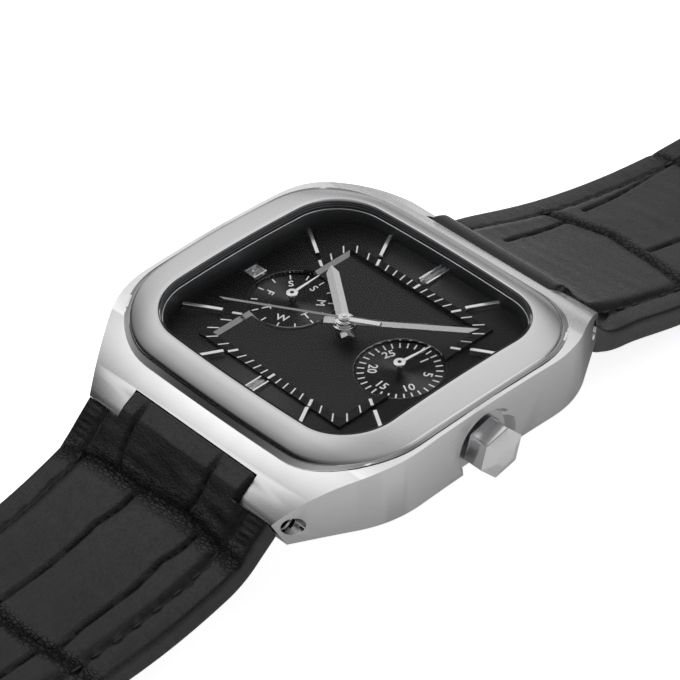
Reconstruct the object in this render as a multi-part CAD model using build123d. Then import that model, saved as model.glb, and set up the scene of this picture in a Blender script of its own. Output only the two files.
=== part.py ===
from build123d import *
from math import asin, atan2, cos, degrees, pi, radians, sin, sqrt, tan
import os

# Square multifunction wristwatch: +X to the crown, +Y to twelve o'clock, +Z out of the dial.
# The origin is the centre of the case back's outer face. All lengths are in millimetres.

# Shared clearances
slip_gap = 0.05
seat_gap = 0.1
soft_gap = 0.3
cut_over = 1.0
far_cut = 60.0

# Heights above the case back's outer face
dial_height = 6.3
table_drop = 11.0

# Case middle
case_half_x = 19.3
case_wall_x = 4.3
opening_half_x = case_half_x - case_wall_x
opening_step_y = 1.2
opening_half_y = opening_half_x - opening_step_y
opening_corner = 6.4
flank_straight = 8.6
flank_corner_radius = 11.2
lug_slant = 33.5
case_top_height = dial_height + 2.1
case_top_radius = 150.0
shoulder_y = 11.0
shoulder_radius = 17.0
case_bottom_height = 1.85
case_bottom_radius = 200.0
lug_reach_y = 5.92
lug_drop = 3.37
lug_bar_y = opening_half_y + lug_reach_y
lug_bar_z = dial_height - lug_drop
lug_end_reach = 1.35
lug_end_lean = 22.7
lug_corner_reach = 2.2
lug_seat_inset = 10.65
lug_inner_half = case_half_x - lug_seat_inset
notch_inset = 0.72
notch_y = lug_bar_y - notch_inset

# Case back and its screws
back_cover_x = 1.6
back_cover_y = 1.5
back_half_x = opening_half_x + back_cover_x
back_half_y = opening_half_y + back_cover_y
back_corner = 5.4
back_floor = 0.8
back_lip = 0.55
back_lip_width = 1.0
back_gasket_width = 0.6
back_edge_break = 0.4
screw_inset = 1.1
screw_x = opening_half_x - screw_inset
screw_y = opening_half_y - screw_inset
screw_radius = 0.5
screw_head_radius = 0.85
screw_head_height = 0.5
screw_length = 2.4

# Bezel and crystal
bezel_rise = 3.05
bezel_top_height = dial_height + bezel_rise
bezel_arch_radius = 118.0
bezel_ledge = 0.76
bezel_half_x = case_half_x - bezel_ledge
bezel_step_y = 2.72
bezel_half_y = bezel_half_x - bezel_step_y
bezel_rim_drop = 0.58
bezel_side_bulge = 0.5
bezel_corner = 8.0
bezel_flare = 24.5
bezel_depth = 4.5
window_over_x = 0.08
window_over_y = 0.04
window_half_x = opening_half_x + window_over_x
window_half_y = opening_half_y + window_over_y
window_bulge = 0.5
window_corner = 5.65
crystal_thickness = 0.75
crystal_under_radius = 300.0
crystal_inset = 0.05
gasket_width = 0.3

# Dial
dial_thickness = 0.6
dial_step = 0.25
panel_depth = 0.45
track_inset = 3.8
track_half = opening_half_y - track_inset
track_width = 0.96
dial_edge_gap = 0.25
dial_half_x = opening_half_x - dial_edge_gap
dial_half_y = opening_half_y - dial_edge_gap
dial_corner = 6.2
rehaut_half_x = opening_half_x - slip_gap
rehaut_half_y = opening_half_y - slip_gap
rehaut_foot_corner = 5.25
rehaut_width = 0.85
rehaut_foot_x = opening_half_x - rehaut_width
rehaut_foot_y = opening_half_y - rehaut_width
rehaut_lean = 0.35
subdial_inset = 6.2
subdial_x = opening_half_y - subdial_inset
subdial_radius = 4.4
subdial_depth = 0.35

# Applied hour markers
marker_inset = 0.7
marker_radius = opening_half_y - marker_inset
marker_length = 2.7
marker_width = 0.62
marker_height = 0.45
marker_chamfer = 0.14
marker_edge_room = 0.35
stone_size = 1.5
stone_height = 0.55
long_stone_length = 2.1
long_stone_width = 0.55
pair_length = 2.3
pair_width = 0.4
pair_gap = 0.025
stone_cut_share = 0.18

# Movement
holder_wall = 0.8
movement_radius = opening_half_y - holder_wall
movement_floor = 3.0
dial_space = 0.4
bridge_thickness = 1.6
bridge_inset = 1.1
bridge_edge_x = -1.2
battery_radius_share = 0.365
battery_x_share = -0.53
battery_y_share = -0.31
battery_radius = movement_radius * battery_radius_share
battery_height = 1.7
battery_x = movement_radius * battery_x_share
battery_y = movement_radius * battery_y_share
clamp_width = 2.2
clamp_thickness = 0.2
coil_radius = 0.7
coil_core_radius = 0.3
coil_length_share = 0.5
coil_x_share = -0.49
coil_y_share = 0.43
coil_length = movement_radius * coil_length_share
coil_x = movement_radius * coil_x_share
coil_y = movement_radius * coil_y_share
board_thickness = 0.3
board_length_share = 0.69
board_width_share = 0.46
board_y_share = 0.46
board_length = movement_radius * board_length_share
board_width = movement_radius * board_width_share
board_y = movement_radius * board_y_share
lever_inset = 3.6
lever_x = movement_radius - lever_inset
lever_length = 1.6
lever_width = 2.6
lever_thickness = 0.9

# Arbors and hands
hour_pipe_radius = 0.75
cannon_radius = 0.47
seconds_arbor_radius = 0.2
hour_wheel_radius = 2.7
hour_wheel_teeth = 16
hour_wheel_thickness = 0.22
tooth_depth = 0.25
small_arbor_radius = 0.3
hand_thickness = 0.18
hour_hand_height = dial_height + 0.7
minute_hand_height = dial_height + 1.2
second_hand_height = dial_height + 1.6
small_hand_height = dial_height + 0.3
hour_hand_inset = 4.6
hour_hand_length = opening_half_y - hour_hand_inset
hour_hand_width = 1.25
hour_hand_tail = 2.0
hour_hand_tip = 0.9
minute_hand_inset = 0.8
minute_hand_length = opening_half_y - minute_hand_inset
minute_hand_width = 1.0
minute_hand_tail = 2.0
minute_hand_tip = 1.0
second_hand_inset = 1.1
second_hand_length = opening_half_y - second_hand_inset
second_hand_width = 0.3
second_hand_tail = 3.6
second_hand_tip = 0.5
second_tail_width = 0.8
small_hand_inset = 0.7
small_hand_length = subdial_radius - small_hand_inset
small_hand_width = 0.36
small_hub_radius = 0.62
hub_collar = 0.45
hour_angle = 304.4
minute_angle = 52.4
second_angle = 240.0
day_angle = -2.6
date_angle = 5.8

# Crown, tube and stem
crown_drop = 2.59
crown_z = dial_height - crown_drop
crown_hex_radius = 2.7
crown_face_radius = 1.2
crown_start_x = case_half_x - 0.45
crown_prism_length = 2.3
crown_cap_length = 0.6
crown_turn = 42.0
crown_dish_radius = 3.7
crown_dish_floor_radius = 3.1
crown_dish_depth = 0.85
tube_radius = 1.0
tube_wall = 0.4
tube_stand = 0.9
crown_bore_radius = 1.4
crown_bore_depth = 1.5
crown_gasket_length = 0.45
stem_radius = 0.5
stem_end = 1.0
stem_inner_x = lever_x - stem_end
crown_pull = 1.2

# Lug bars and their screws
bar_radius = 0.75
bar_bore_radius = 0.4
bar_inset = 7.2
bar_half_length = case_half_x - bar_inset
bar_head_radius = 0.88
bar_head_length = 0.8
bar_screw_length = 2.0

# Strap
tongue_half = lug_inner_half - soft_gap
tongue_radius = 1.7
strap_thickness = 2.2
leather_thickness = 1.4
shoulder_inset = 6.4
strap_half_start = case_half_x - shoulder_inset
strap_half_end = 10.0
shoulder_gap = 0.35
taper_start_y = lug_bar_y + lug_corner_reach
taper_end_y = 95.0
buckle_bar_y = 95.0
tail_end_y = 134.5
tail_tip_radius = 8.0
strap_hole_radius = 1.0
strap_hole_pitch = 6.5
strap_hole_count = 7
strap_hole_first_y = 76.0

# Route of the strap's upper face: straight lengths, then radius and turn, from the lug bar outward
twelve_heading = -57.0
twelve_route = ((4.1, 4.0, 36.0),)
twelve_landing_radius = 90.0
six_heading = -40.5
six_route = ((4.9, 8.0, 24.0), (1.0, 50.0, 10.7))
six_landing_radius = 80.0

# Keepers
keeper_wall = 0.9
keeper_length = 5.0
keeper_room = 2.5
fixed_keeper_y = 86.5
free_keeper_y = 77.5
free_keeper_in = 5.0

# Pin buckle
buckle_bar_radius = 0.7
buckle_ear_radius = 1.4
buckle_inner_half = 10.5
buckle_side_width = 1.8
buckle_length = 14.5
buckle_bar_width = 2.6
buckle_thickness = 2.2
buckle_corner = 3.0
buckle_edge_break = 0.4
buckle_loop_radius = 1.5
tang_slot_length = 3.6
tang_width = 1.9
tang_eye_radius = 1.25
tang_thickness = 0.9
strap_slot_half = 1.4

# Derived places
table_z = -table_drop
dial_top = dial_height - dial_step
dial_bottom = dial_top - dial_thickness
panel_top = dial_height - panel_depth
crystal_top = bezel_top_height - crystal_inset
crystal_bottom = crystal_top - crystal_thickness
movement_top = dial_bottom - dial_space
shoulder_tilt = asin(shoulder_y / case_top_radius)
shoulder_top = case_top_height - case_top_radius * (1 - cos(shoulder_tilt))
shoulder_centre_y = shoulder_y - shoulder_radius * sin(shoulder_tilt)
shoulder_centre_z = shoulder_top - shoulder_radius * cos(shoulder_tilt)
hollow_radius = tongue_radius + soft_gap
lug_cheek = lug_bar_y - hollow_radius
strap_flat_top = table_z + keeper_wall + soft_gap + strap_thickness
buckle_bar_z = strap_flat_top - strap_thickness / 2
buckle_reach = sqrt(buckle_length ** 2 + (buckle_thickness / 2) ** 2)
buckle_lean = atan2(buckle_thickness / 2, buckle_length)
buckle_droop = degrees(asin((buckle_bar_z - table_z) / buckle_reach) - buckle_lean)


def rounded(half_x, half_y, corner):
    """Rectangle with round corners, centred on the origin."""
    return RectangleRounded(2 * half_x, 2 * half_y, corner)


def pillow(half_x, half_y, bulge_x, bulge_y, corner):
    """Rectangle whose sides swell outward, with round corners."""
    x, y = half_x - bulge_x, half_y - bulge_y
    right = ThreePointArc((x, -y), (half_x, 0), (x, y)) if bulge_x else Line((x, -y), (x, y))
    left = ThreePointArc((-x, y), (-half_x, 0), (-x, -y)) if bulge_x else Line((-x, y), (-x, -y))
    top = ThreePointArc((x, y), (0, half_y), (-x, y)) if bulge_y else Line((x, y), (-x, y))
    foot = ThreePointArc((-x, -y), (0, -half_y), (x, -y)) if bulge_y else Line((-x, -y), (x, -y))
    face = make_face(right + top + left + foot)
    return fillet(face.vertices(), corner)


def prism(sketch, low, high):
    """Upright prism of a plan outline between two heights."""
    return extrude(Pos(0, 0, low) * sketch, high - low)


def across(sketch, half_width):
    """Side outline, drawn as (Y, Z), carried along X to both sides."""
    return extrude(Plane.YZ * sketch, half_width, both=True)


def span(low_y, high_y, low_z, high_z):
    """Rectangle in a side view, given by its limits."""
    return Pos((low_y + high_y) / 2, (low_z + high_z) / 2) * Rectangle(high_y - low_y, high_z - low_z)


def rod_x(radius, low_x, high_x, y, z):
    """Round bar along X."""
    return Pos((low_x + high_x) / 2, y, z) * Rot(0, 90, 0) * Cylinder(radius, high_x - low_x)


def tube_z(radius, bore, low, high):
    """Upright tube, or a solid pin when the bore is zero."""
    tube = prism(Circle(radius), low, high)
    return tube - prism(Circle(bore), low - cut_over, high + cut_over) if bore else tube


def box_between(low, high):
    """Box given by its lowest and highest corners."""
    centre = [(a + b) / 2 for a, b in zip(low, high)]
    return Pos(*centre) * Box(*[b - a for a, b in zip(low, high)])


def under_arch(top, radius):
    """Everything below a surface arched along Y, as a solid."""
    disc = Pos(0, top - radius) * Circle(radius)
    return across(disc & span(-far_cut / 2, far_cut / 2, top - far_cut / 2, top + cut_over), far_cut)


def under_case_top():
    """Side outline of everything below the case's upper surface."""
    low = -far_cut / 4
    high = case_top_height + cut_over
    middle = Pos(0, case_top_height - case_top_radius) * Circle(case_top_radius)
    outline = middle & span(-shoulder_y, shoulder_y, low, high)
    for side in (-1, 1):
        drop = Pos(side * shoulder_centre_y, shoulder_centre_z) * Circle(shoulder_radius)
        near, far = sorted((side * shoulder_y, side * (lug_bar_y + 2 * lug_corner_reach)))
        outline += drop & span(near, far, shoulder_centre_z, high)
        outline += span(near, far, low, shoulder_centre_z)
    return outline


def case_plan():
    """Plan of the case with its slanted lugs and the strap notches between them."""
    turn = radians(lug_slant)
    bend_x = case_half_x - flank_corner_radius * (1 - cos(turn))
    bend_y = flank_straight + flank_corner_radius * sin(turn)
    half_x = case_half_x - flank_corner_radius * (1 - cos(turn / 2))
    half_y = flank_straight + flank_corner_radius * sin(turn / 2)
    tip_y = lug_bar_y + 2 * lug_corner_reach
    tip_x = bend_x - (tip_y - bend_y) * tan(turn)
    flank = Line((case_half_x, 0), (case_half_x, flank_straight))
    flank += ThreePointArc((case_half_x, flank_straight), (half_x, half_y), (bend_x, bend_y))
    flank += Polyline((bend_x, bend_y), (tip_x, tip_y), (0, tip_y), (0, 0), (case_half_x, 0))
    quarter = make_face(flank)
    half = quarter + mirror(quarter, Plane.XZ)
    return half + mirror(half, Plane.YZ)


def make_mid_case():
    """Machined middle with four lugs, open through the centre."""
    side_view = under_case_top()
    for side in (-1, 1):
        near, far = sorted((side * lug_end_reach, side * far_cut / 4))
        beyond = span(near, far, -far_cut / 4, far_cut / 4)
        side_view -= Pos(side * lug_bar_y, lug_bar_z) * Rot(0, 0, -side * lug_end_lean) * beyond
    side_view -= Pos(0, case_bottom_height - case_bottom_radius) * Circle(case_bottom_radius)
    case = across(side_view, case_half_x + cut_over) & prism(case_plan(), -far_cut / 4, far_cut / 4)
    case -= prism(rounded(opening_half_x, opening_half_y, opening_corner), -far_cut / 4, far_cut / 4)
    case -= prism(rounded(back_half_x + seat_gap, back_half_y + seat_gap, back_corner), -far_cut / 4,
                  case_bottom_height)
    for side in (-1, 1):
        near, far = sorted((side * notch_y, side * far_cut))
        case -= box_between((-lug_inner_half, near, -far_cut), (lug_inner_half, far, far_cut))
        near, far = sorted((side * lug_cheek, side * far_cut))
        case -= box_between((-lug_inner_half, near, -far_cut), (lug_inner_half, far, lug_bar_z))
        case -= rod_x(hollow_radius, -lug_inner_half, lug_inner_half, side * lug_bar_y, lug_bar_z)
        case -= rod_x(bar_radius + slip_gap, -far_cut, far_cut, side * lug_bar_y, lug_bar_z)
        for end in (-1, 1):
            low, high = sorted((end * bar_half_length, end * far_cut))
            case -= rod_x(bar_head_radius + seat_gap, low, high, side * lug_bar_y, lug_bar_z)
    dish = Pos(case_half_x - crown_dish_depth / 2, 0, crown_z) * Rot(0, 90, 0)
    case -= dish * Cone(crown_dish_floor_radius, crown_dish_radius, crown_dish_depth)
    case -= prism(window_outline(0), 0, far_cut) - under_arch(crystal_bottom - slip_gap, crystal_under_radius)
    case -= rod_x(tube_radius, 0, far_cut, 0, crown_z)
    case -= screw_places(Cylinder(screw_radius, 2 * (screw_head_height + screw_length + seat_gap)))
    return case


def screw_places(piece):
    """One copy of a piece at each case back screw, seated on the back's outer face."""
    corners = [(x, y) for x in (-screw_x, screw_x) for y in (-screw_y, screw_y)]
    return [Pos(x, y, 0) * piece for x, y in corners]


def make_bezel():
    """Arched frame round the crystal, with a steep polished flank."""
    flare = tan(radians(bezel_flare))
    rim_height = bezel_top_height - bezel_rim_drop
    wide = bezel_depth * flare
    top_narrow = bezel_rim_drop * flare
    block = loft([
        Pos(0, 0, bezel_top_height) * pillow(bezel_half_x - top_narrow, bezel_half_y - top_narrow,
                                             bezel_side_bulge, bezel_side_bulge, bezel_corner - top_narrow),
        Pos(0, 0, rim_height - bezel_depth) * pillow(bezel_half_x + wide, bezel_half_y + wide,
                                                     bezel_side_bulge, bezel_side_bulge, bezel_corner + wide),
    ], ruled=True)
    roof = make_face(Polyline(
        (-window_half_x, bezel_top_height), (window_half_x, bezel_top_height),
        (bezel_half_x, rim_height), (far_cut, rim_height), (far_cut, -far_cut),
        (-far_cut, -far_cut), (-far_cut, rim_height), (-bezel_half_x, rim_height),
        (-window_half_x, bezel_top_height)))
    block &= extrude(Plane.XZ * roof, far_cut, both=True)
    block &= under_arch(bezel_top_height, bezel_arch_radius)
    block -= prism(window_outline(0), -far_cut, far_cut)
    return block - across(under_case_top(), far_cut)


def window_outline(inset):
    """Outline of the bezel's window, drawn in by an inset."""
    return pillow(window_half_x - inset, window_half_y - inset, 0, window_bulge, window_corner - inset)


def window_slab(outer_inset, inner_inset, low, high):
    """Arched plate or ring in the bezel's window, flatter underneath."""
    ring = prism(window_outline(outer_inset), -far_cut / 4, far_cut / 2)
    if inner_inset:
        ring -= prism(window_outline(inner_inset), -far_cut / 2, far_cut)
    slab = under_arch(high, bezel_arch_radius) - under_arch(low, crystal_under_radius)
    return ring & slab


def make_crystal():
    return window_slab(gasket_width + slip_gap, 0, crystal_bottom, crystal_top)


def make_crystal_gasket():
    return window_slab(slip_gap / 2, gasket_width + slip_gap / 2, crystal_bottom, crystal_top)


def make_rehaut():
    """Sloped ring between the dial's edge and the crystal."""
    corner = opening_corner - seat_gap
    body = prism(rounded(rehaut_half_x, rehaut_half_y, corner), dial_top, crystal_top)
    body &= prism(window_outline(slip_gap), 0, far_cut)
    hollow = loft([
        Pos(0, 0, dial_top) * rounded(rehaut_foot_x, rehaut_foot_y, rehaut_foot_corner),
        Pos(0, 0, crystal_top) * rounded(rehaut_foot_x + rehaut_lean, rehaut_foot_y + rehaut_lean,
                                         rehaut_foot_corner + rehaut_lean),
    ], ruled=True)
    return (body - hollow) & under_arch(crystal_bottom, crystal_under_radius)


def subdials(sketch):
    """A plan shape at the day and the date centres."""
    return Pos(-subdial_x, 0) * sketch + Pos(subdial_x, 0) * sketch


def make_dial_plate():
    """Black plate with a sunken square panel and two sunken rounds."""
    inner = track_half - track_width
    plate = prism(rounded(dial_half_x, dial_half_y, dial_corner), dial_bottom, dial_top)
    plate -= prism(Rectangle(2 * inner, 2 * inner), panel_top, dial_height)
    plate -= prism(subdials(Circle(subdial_radius)), dial_top - subdial_depth, dial_height)
    plate -= prism(Circle(hour_pipe_radius + seat_gap), 0, dial_height)
    return plate - prism(subdials(Circle(small_arbor_radius + slip_gap)), 0, dial_height)


def make_track_frame():
    """Raised square frame that carries the minute marks, cut by the two rounds."""
    inner = track_half - track_width
    frame = Rectangle(2 * track_half, 2 * track_half) - Rectangle(2 * inner, 2 * inner)
    frame -= subdials(Circle(subdial_radius))
    return prism(frame, dial_top, dial_height)


def baton(length, width):
    """Applied bar with bevelled long sides, along Y, foot on the origin plane."""
    bar = prism(Rectangle(width, length), 0, marker_height)
    tops = bar.faces().sort_by(Axis.Z)[-1].edges()
    return chamfer(tops, marker_chamfer)


def make_hour_markers():
    """Applied hour bars: doubled at twelve and six, none at three and nine."""
    bars = []
    pair_step = (long_stone_width + pair_width) / 2 + pair_gap
    for hour in (1, 2, 4, 5, 7, 8, 10, 11):
        turn = Rot(0, 0, -30 * hour)
        bars.append(turn * Pos(0, marker_radius, dial_top) * baton(marker_length, marker_width))
    for side in (-1, 1):
        for step in (-pair_step, pair_step):
            y = side * (rehaut_foot_y - marker_edge_room - pair_length / 2)
            bars.append(Pos(step, y, dial_top) * baton(pair_length, pair_width))
    return bars


def make_stones():
    """Clear stones: a long one at twelve and six, a square one at nine."""
    stones = []
    end_y = rehaut_foot_y - marker_edge_room - pair_length / 2
    end_x = rehaut_foot_x - marker_edge_room - stone_size / 2
    long = (long_stone_width, long_stone_length)
    places = ((0, end_y, *long), (0, -end_y, *long), (-end_x, 0, stone_size, stone_size))
    for x, y, width, length in places:
        block = Pos(x, y, dial_top) * prism(Rectangle(width, length), 0, stone_height)
        stones.append(chamfer(block.faces().sort_by(Axis.Z)[-1].edges(), width * stone_cut_share))
    return stones


def make_movement_plate():
    """Main plate of the quartz movement, with the channel for the winding stem."""
    plate = prism(Circle(movement_radius), movement_floor, movement_top)
    plate -= prism(Circle(cannon_radius + slip_gap), 0, dial_height)
    plate -= prism(subdials(Circle(small_arbor_radius + slip_gap)), 0, dial_height)
    plate -= rod_x(stem_radius + seat_gap, stem_inner_x - crown_pull, far_cut, 0, crown_z)
    pocket_x = lever_length / 2 + seat_gap
    low = (lever_x - pocket_x, -lever_width / 2 - seat_gap, crown_z - lever_thickness / 2 - seat_gap)
    high = (lever_x + pocket_x + crown_pull, lever_width / 2 + seat_gap, movement_top + cut_over)
    return plate - box_between(low, high)


def make_movement_holder():
    """Plastic ring that centres the round movement in the square opening and carries the dial."""
    ring = rounded(opening_half_x - seat_gap, opening_half_y - seat_gap, opening_corner)
    ring -= Circle(movement_radius + slip_gap)
    holder = prism(ring, case_bottom_height + back_lip, dial_bottom)
    return holder - rod_x(tube_radius + seat_gap, 0, far_cut, 0, crown_z)


def make_train_bridge():
    """Plate over the gear train, cut away for the battery, coil and circuit."""
    low = movement_floor - bridge_thickness
    bridge = prism(Circle(movement_radius - bridge_inset), low, movement_floor)
    cut = box_between((-far_cut, -far_cut, -far_cut), (bridge_edge_x, far_cut, far_cut))
    return bridge - cut - Pos(battery_x, battery_y, 0) * prism(Circle(battery_radius + seat_gap), 0, far_cut)


def make_battery():
    low = movement_floor - battery_height
    cell = Pos(battery_x, battery_y, 0) * prism(Circle(battery_radius), low, movement_floor)
    return chamfer(cell.edges().sort_by(Axis.Z)[0], clamp_thickness)


def make_battery_clamp():
    """Spring strip that holds the cell down, hooked over the train bridge."""
    top = movement_floor - battery_height
    bridge_low = movement_floor - bridge_thickness
    reach = bridge_edge_x + 2 * clamp_width
    strip = box_between((battery_x, battery_y - clamp_width / 2, top - clamp_thickness),
                        (reach, battery_y + clamp_width / 2, top))
    foot = box_between((reach - clamp_width, battery_y - clamp_width / 2, top - clamp_thickness),
                       (reach, battery_y + clamp_width / 2, bridge_low))
    return strip + foot


def make_circuit_board():
    low = movement_floor - board_thickness
    board = Pos(coil_x, board_y, 0) * prism(Rectangle(board_width, board_length), low, movement_floor)
    board &= prism(Circle(movement_radius - bridge_inset), 0, movement_top)
    return board - Pos(battery_x, battery_y, 0) * prism(Circle(battery_radius + seat_gap), 0, far_cut)


def make_motor_coil():
    """Wound coil of the stepping motor on its core, lying along Y on the circuit."""
    z = movement_floor - board_thickness - coil_radius
    turn = Pos(coil_x, coil_y, z) * Rot(90, 0, 0)
    return turn * Cylinder(coil_radius, coil_length - 4 * coil_core_radius) + turn * Cylinder(
        coil_core_radius, coil_length)


def make_caseback():
    """Flat plate that drops into the case's underside, with a lip and four screw seats."""
    plate = prism(rounded(back_half_x, back_half_y, back_corner), 0, case_bottom_height)
    plate = chamfer(plate.faces().sort_by(Axis.Z)[0].edges(), back_edge_break)
    lip_x = opening_half_x - seat_gap - back_gasket_width
    lip_y = opening_half_y - seat_gap - back_gasket_width
    lip_corner = opening_corner - back_gasket_width
    plate += prism(rounded(lip_x, lip_y, lip_corner), case_bottom_height, case_bottom_height + back_lip)
    plate -= prism(rounded(lip_x - back_lip_width, lip_y - back_lip_width, lip_corner - back_lip_width),
                   back_floor, far_cut)
    seats = screw_places(Cylinder(screw_radius + seat_gap, far_cut))
    heads = screw_places(Pos(0, 0, screw_head_height / 2) * Cylinder(
        screw_head_radius + seat_gap, screw_head_height + slip_gap))
    return plate - seats - heads


def make_back_gasket():
    """Rubber ring round the back's lip."""
    outer = rounded(opening_half_x - slip_gap, opening_half_y - slip_gap, opening_corner)
    lip_x = opening_half_x - seat_gap - back_gasket_width
    lip_y = opening_half_y - seat_gap - back_gasket_width
    ring = outer - rounded(lip_x + slip_gap, lip_y + slip_gap, opening_corner - back_gasket_width)
    return prism(ring, case_bottom_height, case_bottom_height + back_lip - slip_gap)


def make_back_screws():
    """Four screws that enter from below."""
    head = Pos(0, 0, screw_head_height / 2) * Cylinder(screw_head_radius, screw_head_height)
    shank = Pos(0, 0, screw_head_height + screw_length / 2) * Cylinder(screw_radius - slip_gap, screw_length)
    return screw_places(head + shank)


def make_lug_bar(side):
    """Hollow bar through two lugs; the strap turns on it."""
    bar = rod_x(bar_radius, -bar_half_length, bar_half_length, side * lug_bar_y, lug_bar_z)
    return bar - rod_x(bar_bore_radius, -far_cut, far_cut, side * lug_bar_y, lug_bar_z)


def make_lug_bar_screws():
    """Screw in each end of both lug bars."""
    screws = []
    for side in (-1, 1):
        for end in (-1, 1):
            y = side * lug_bar_y
            low, high = sorted((end * bar_half_length, end * (bar_half_length + bar_head_length)))
            head = rod_x(bar_head_radius, low, high, y, lug_bar_z)
            low, high = sorted((end * bar_half_length, end * (bar_half_length - bar_screw_length)))
            shank = rod_x(bar_bore_radius - slip_gap / 2, low, high, y, lug_bar_z)
            screws.append(head + shank)
    return screws


def make_crown_tube():
    outer_x = case_half_x - crown_dish_depth + tube_stand
    tube = rod_x(tube_radius - slip_gap / 2, opening_half_x, outer_x, 0, crown_z)
    return tube - rod_x(tube_radius - tube_wall, 0, far_cut, 0, crown_z)


def crown_hexagon(radius, x):
    """Hexagon across the crown's axis at one place along X."""
    face = Plane(origin=(x, 0, crown_z), x_dir=(0, 1, 0), z_dir=(1, 0, 0))
    return face * Rot(0, 0, crown_turn) * RegularPolygon(radius, 6)


def make_crown():
    """Six sided crown with a faceted cap, hollow behind for the tube."""
    joint_x = crown_start_x + crown_prism_length
    body = extrude(crown_hexagon(crown_hex_radius, crown_start_x), crown_prism_length)
    body += loft([crown_hexagon(crown_hex_radius, joint_x),
                  crown_hexagon(crown_face_radius, joint_x + crown_cap_length)], ruled=True)
    body -= rod_x(crown_bore_radius, 0, crown_start_x + crown_bore_depth, 0, crown_z)
    return body - rod_x(stem_radius, 0, crown_start_x + crown_prism_length, 0, crown_z)


def make_crown_gasket():
    """Rubber ring in the crown that seals on the tube."""
    low = crown_start_x + seat_gap
    ring = rod_x(crown_bore_radius, low, low + crown_gasket_length, 0, crown_z)
    return ring - rod_x(tube_radius + slip_gap, 0, far_cut, 0, crown_z)


def make_winding_stem():
    """Stem from the movement into the crown, with a neck that the setting lever holds."""
    stem = rod_x(stem_radius, stem_inner_x, crown_start_x + crown_prism_length, 0, crown_z)
    neck = rod_x(stem_radius + cut_over, lever_x - lever_length / 2, lever_x + lever_length / 2, 0, crown_z)
    neck -= rod_x(stem_radius / 2, 0, far_cut, 0, crown_z)
    return stem - neck


def make_setting_lever():
    """Forked plate in the stem's neck; it travels with the stem."""
    half = lever_length / 2 - slip_gap
    plate = box_between((lever_x - half, -lever_width / 2, crown_z - lever_thickness / 2),
                        (lever_x + half, lever_width / 2, crown_z + lever_thickness / 2))
    slot_half = stem_radius / 2 + slip_gap
    fork = rod_x(slot_half, 0, far_cut, 0, crown_z)
    fork += box_between((0, -slot_half, crown_z - lever_thickness), (far_cut, slot_half, crown_z))
    return plate - fork


def pointer(length, width, tail, tail_width, tip_length, collar, bore, height):
    """Flat hand along +Y with a pointed end, a tail and a collar round its arbor."""
    tip = (0, length)
    neck = length - tip_length
    outline = Polyline((-width / 2, 0), (-width / 2, neck), tip, (width / 2, neck), (width / 2, 0),
                       (tail_width / 2, 0), (tail_width / 2, -tail), (-tail_width / 2, -tail),
                       (-tail_width / 2, 0), (-width / 2, 0)) if tail_width != width else Polyline(
                           (-width / 2, -tail), (-width / 2, neck), tip, (width / 2, neck),
                           (width / 2, -tail), (-width / 2, -tail))
    plan = make_face(outline) + Circle(collar)
    hand = prism(plan, height, height + hand_thickness)
    return hand - prism(Circle(bore), 0, far_cut) if bore else hand


def make_hour_hand():
    hand = pointer(hour_hand_length, hour_hand_width, hour_hand_tail, hour_hand_width, hour_hand_tip,
                   hour_pipe_radius + hub_collar, hour_pipe_radius, hour_hand_height)
    return Rot(0, 0, -hour_angle) * hand


def make_minute_hand():
    hand = pointer(minute_hand_length, minute_hand_width, minute_hand_tail, minute_hand_width,
                   minute_hand_tip, cannon_radius + hub_collar, cannon_radius, minute_hand_height)
    return Rot(0, 0, -minute_angle) * hand


def make_second_hand():
    hand = pointer(second_hand_length, second_hand_width, second_hand_tail, second_tail_width,
                   second_hand_tip, seconds_arbor_radius + hub_collar, seconds_arbor_radius,
                   second_hand_height)
    return Rot(0, 0, -second_angle) * hand


def make_hour_wheel():
    """Toothed wheel under the dial with the pipe that carries the hour hand."""
    low = movement_top + (dial_space - hour_wheel_thickness) / 2
    tooth = tooth_depth * 2
    rim = Circle(hour_wheel_radius)
    for index in range(hour_wheel_teeth):
        angle = 360 / hour_wheel_teeth * index
        rim -= Rot(0, 0, angle) * Pos(hour_wheel_radius, 0) * Rectangle(tooth, tooth_depth)
    wheel = prism(rim, low, low + hour_wheel_thickness)
    wheel += prism(Circle(hour_pipe_radius), low, hour_hand_height + hand_thickness)
    return wheel - prism(Circle(cannon_radius + slip_gap), 0, far_cut)


def make_cannon_pinion():
    """Pipe from the centre wheel that carries the minute hand."""
    return tube_z(cannon_radius, seconds_arbor_radius + slip_gap, movement_floor + bridge_inset,
                  minute_hand_height + hand_thickness)


def make_seconds_arbor():
    top = second_hand_height + hand_thickness + slip_gap
    return tube_z(seconds_arbor_radius, 0, movement_floor + bridge_inset, top)


def make_small_hand(side):
    """Slim pointer with a round hub, for the day or the date."""
    plan = Pos(0, small_hand_length / 2) * Rectangle(small_hand_width, small_hand_length)
    plan = plan + Circle(small_hub_radius) - Circle(small_arbor_radius)
    turn = Rot(0, 0, -(day_angle if side < 0 else date_angle))
    hand = prism(plan, small_hand_height, small_hand_height + hand_thickness)
    return Pos(side * subdial_x, 0, 0) * turn * hand


def make_small_arbor(side):
    x = side * subdial_x
    return Pos(x, 0, 0) * tube_z(small_arbor_radius, 0, movement_floor + bridge_inset,
                                 small_hand_height + hand_thickness)


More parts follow.
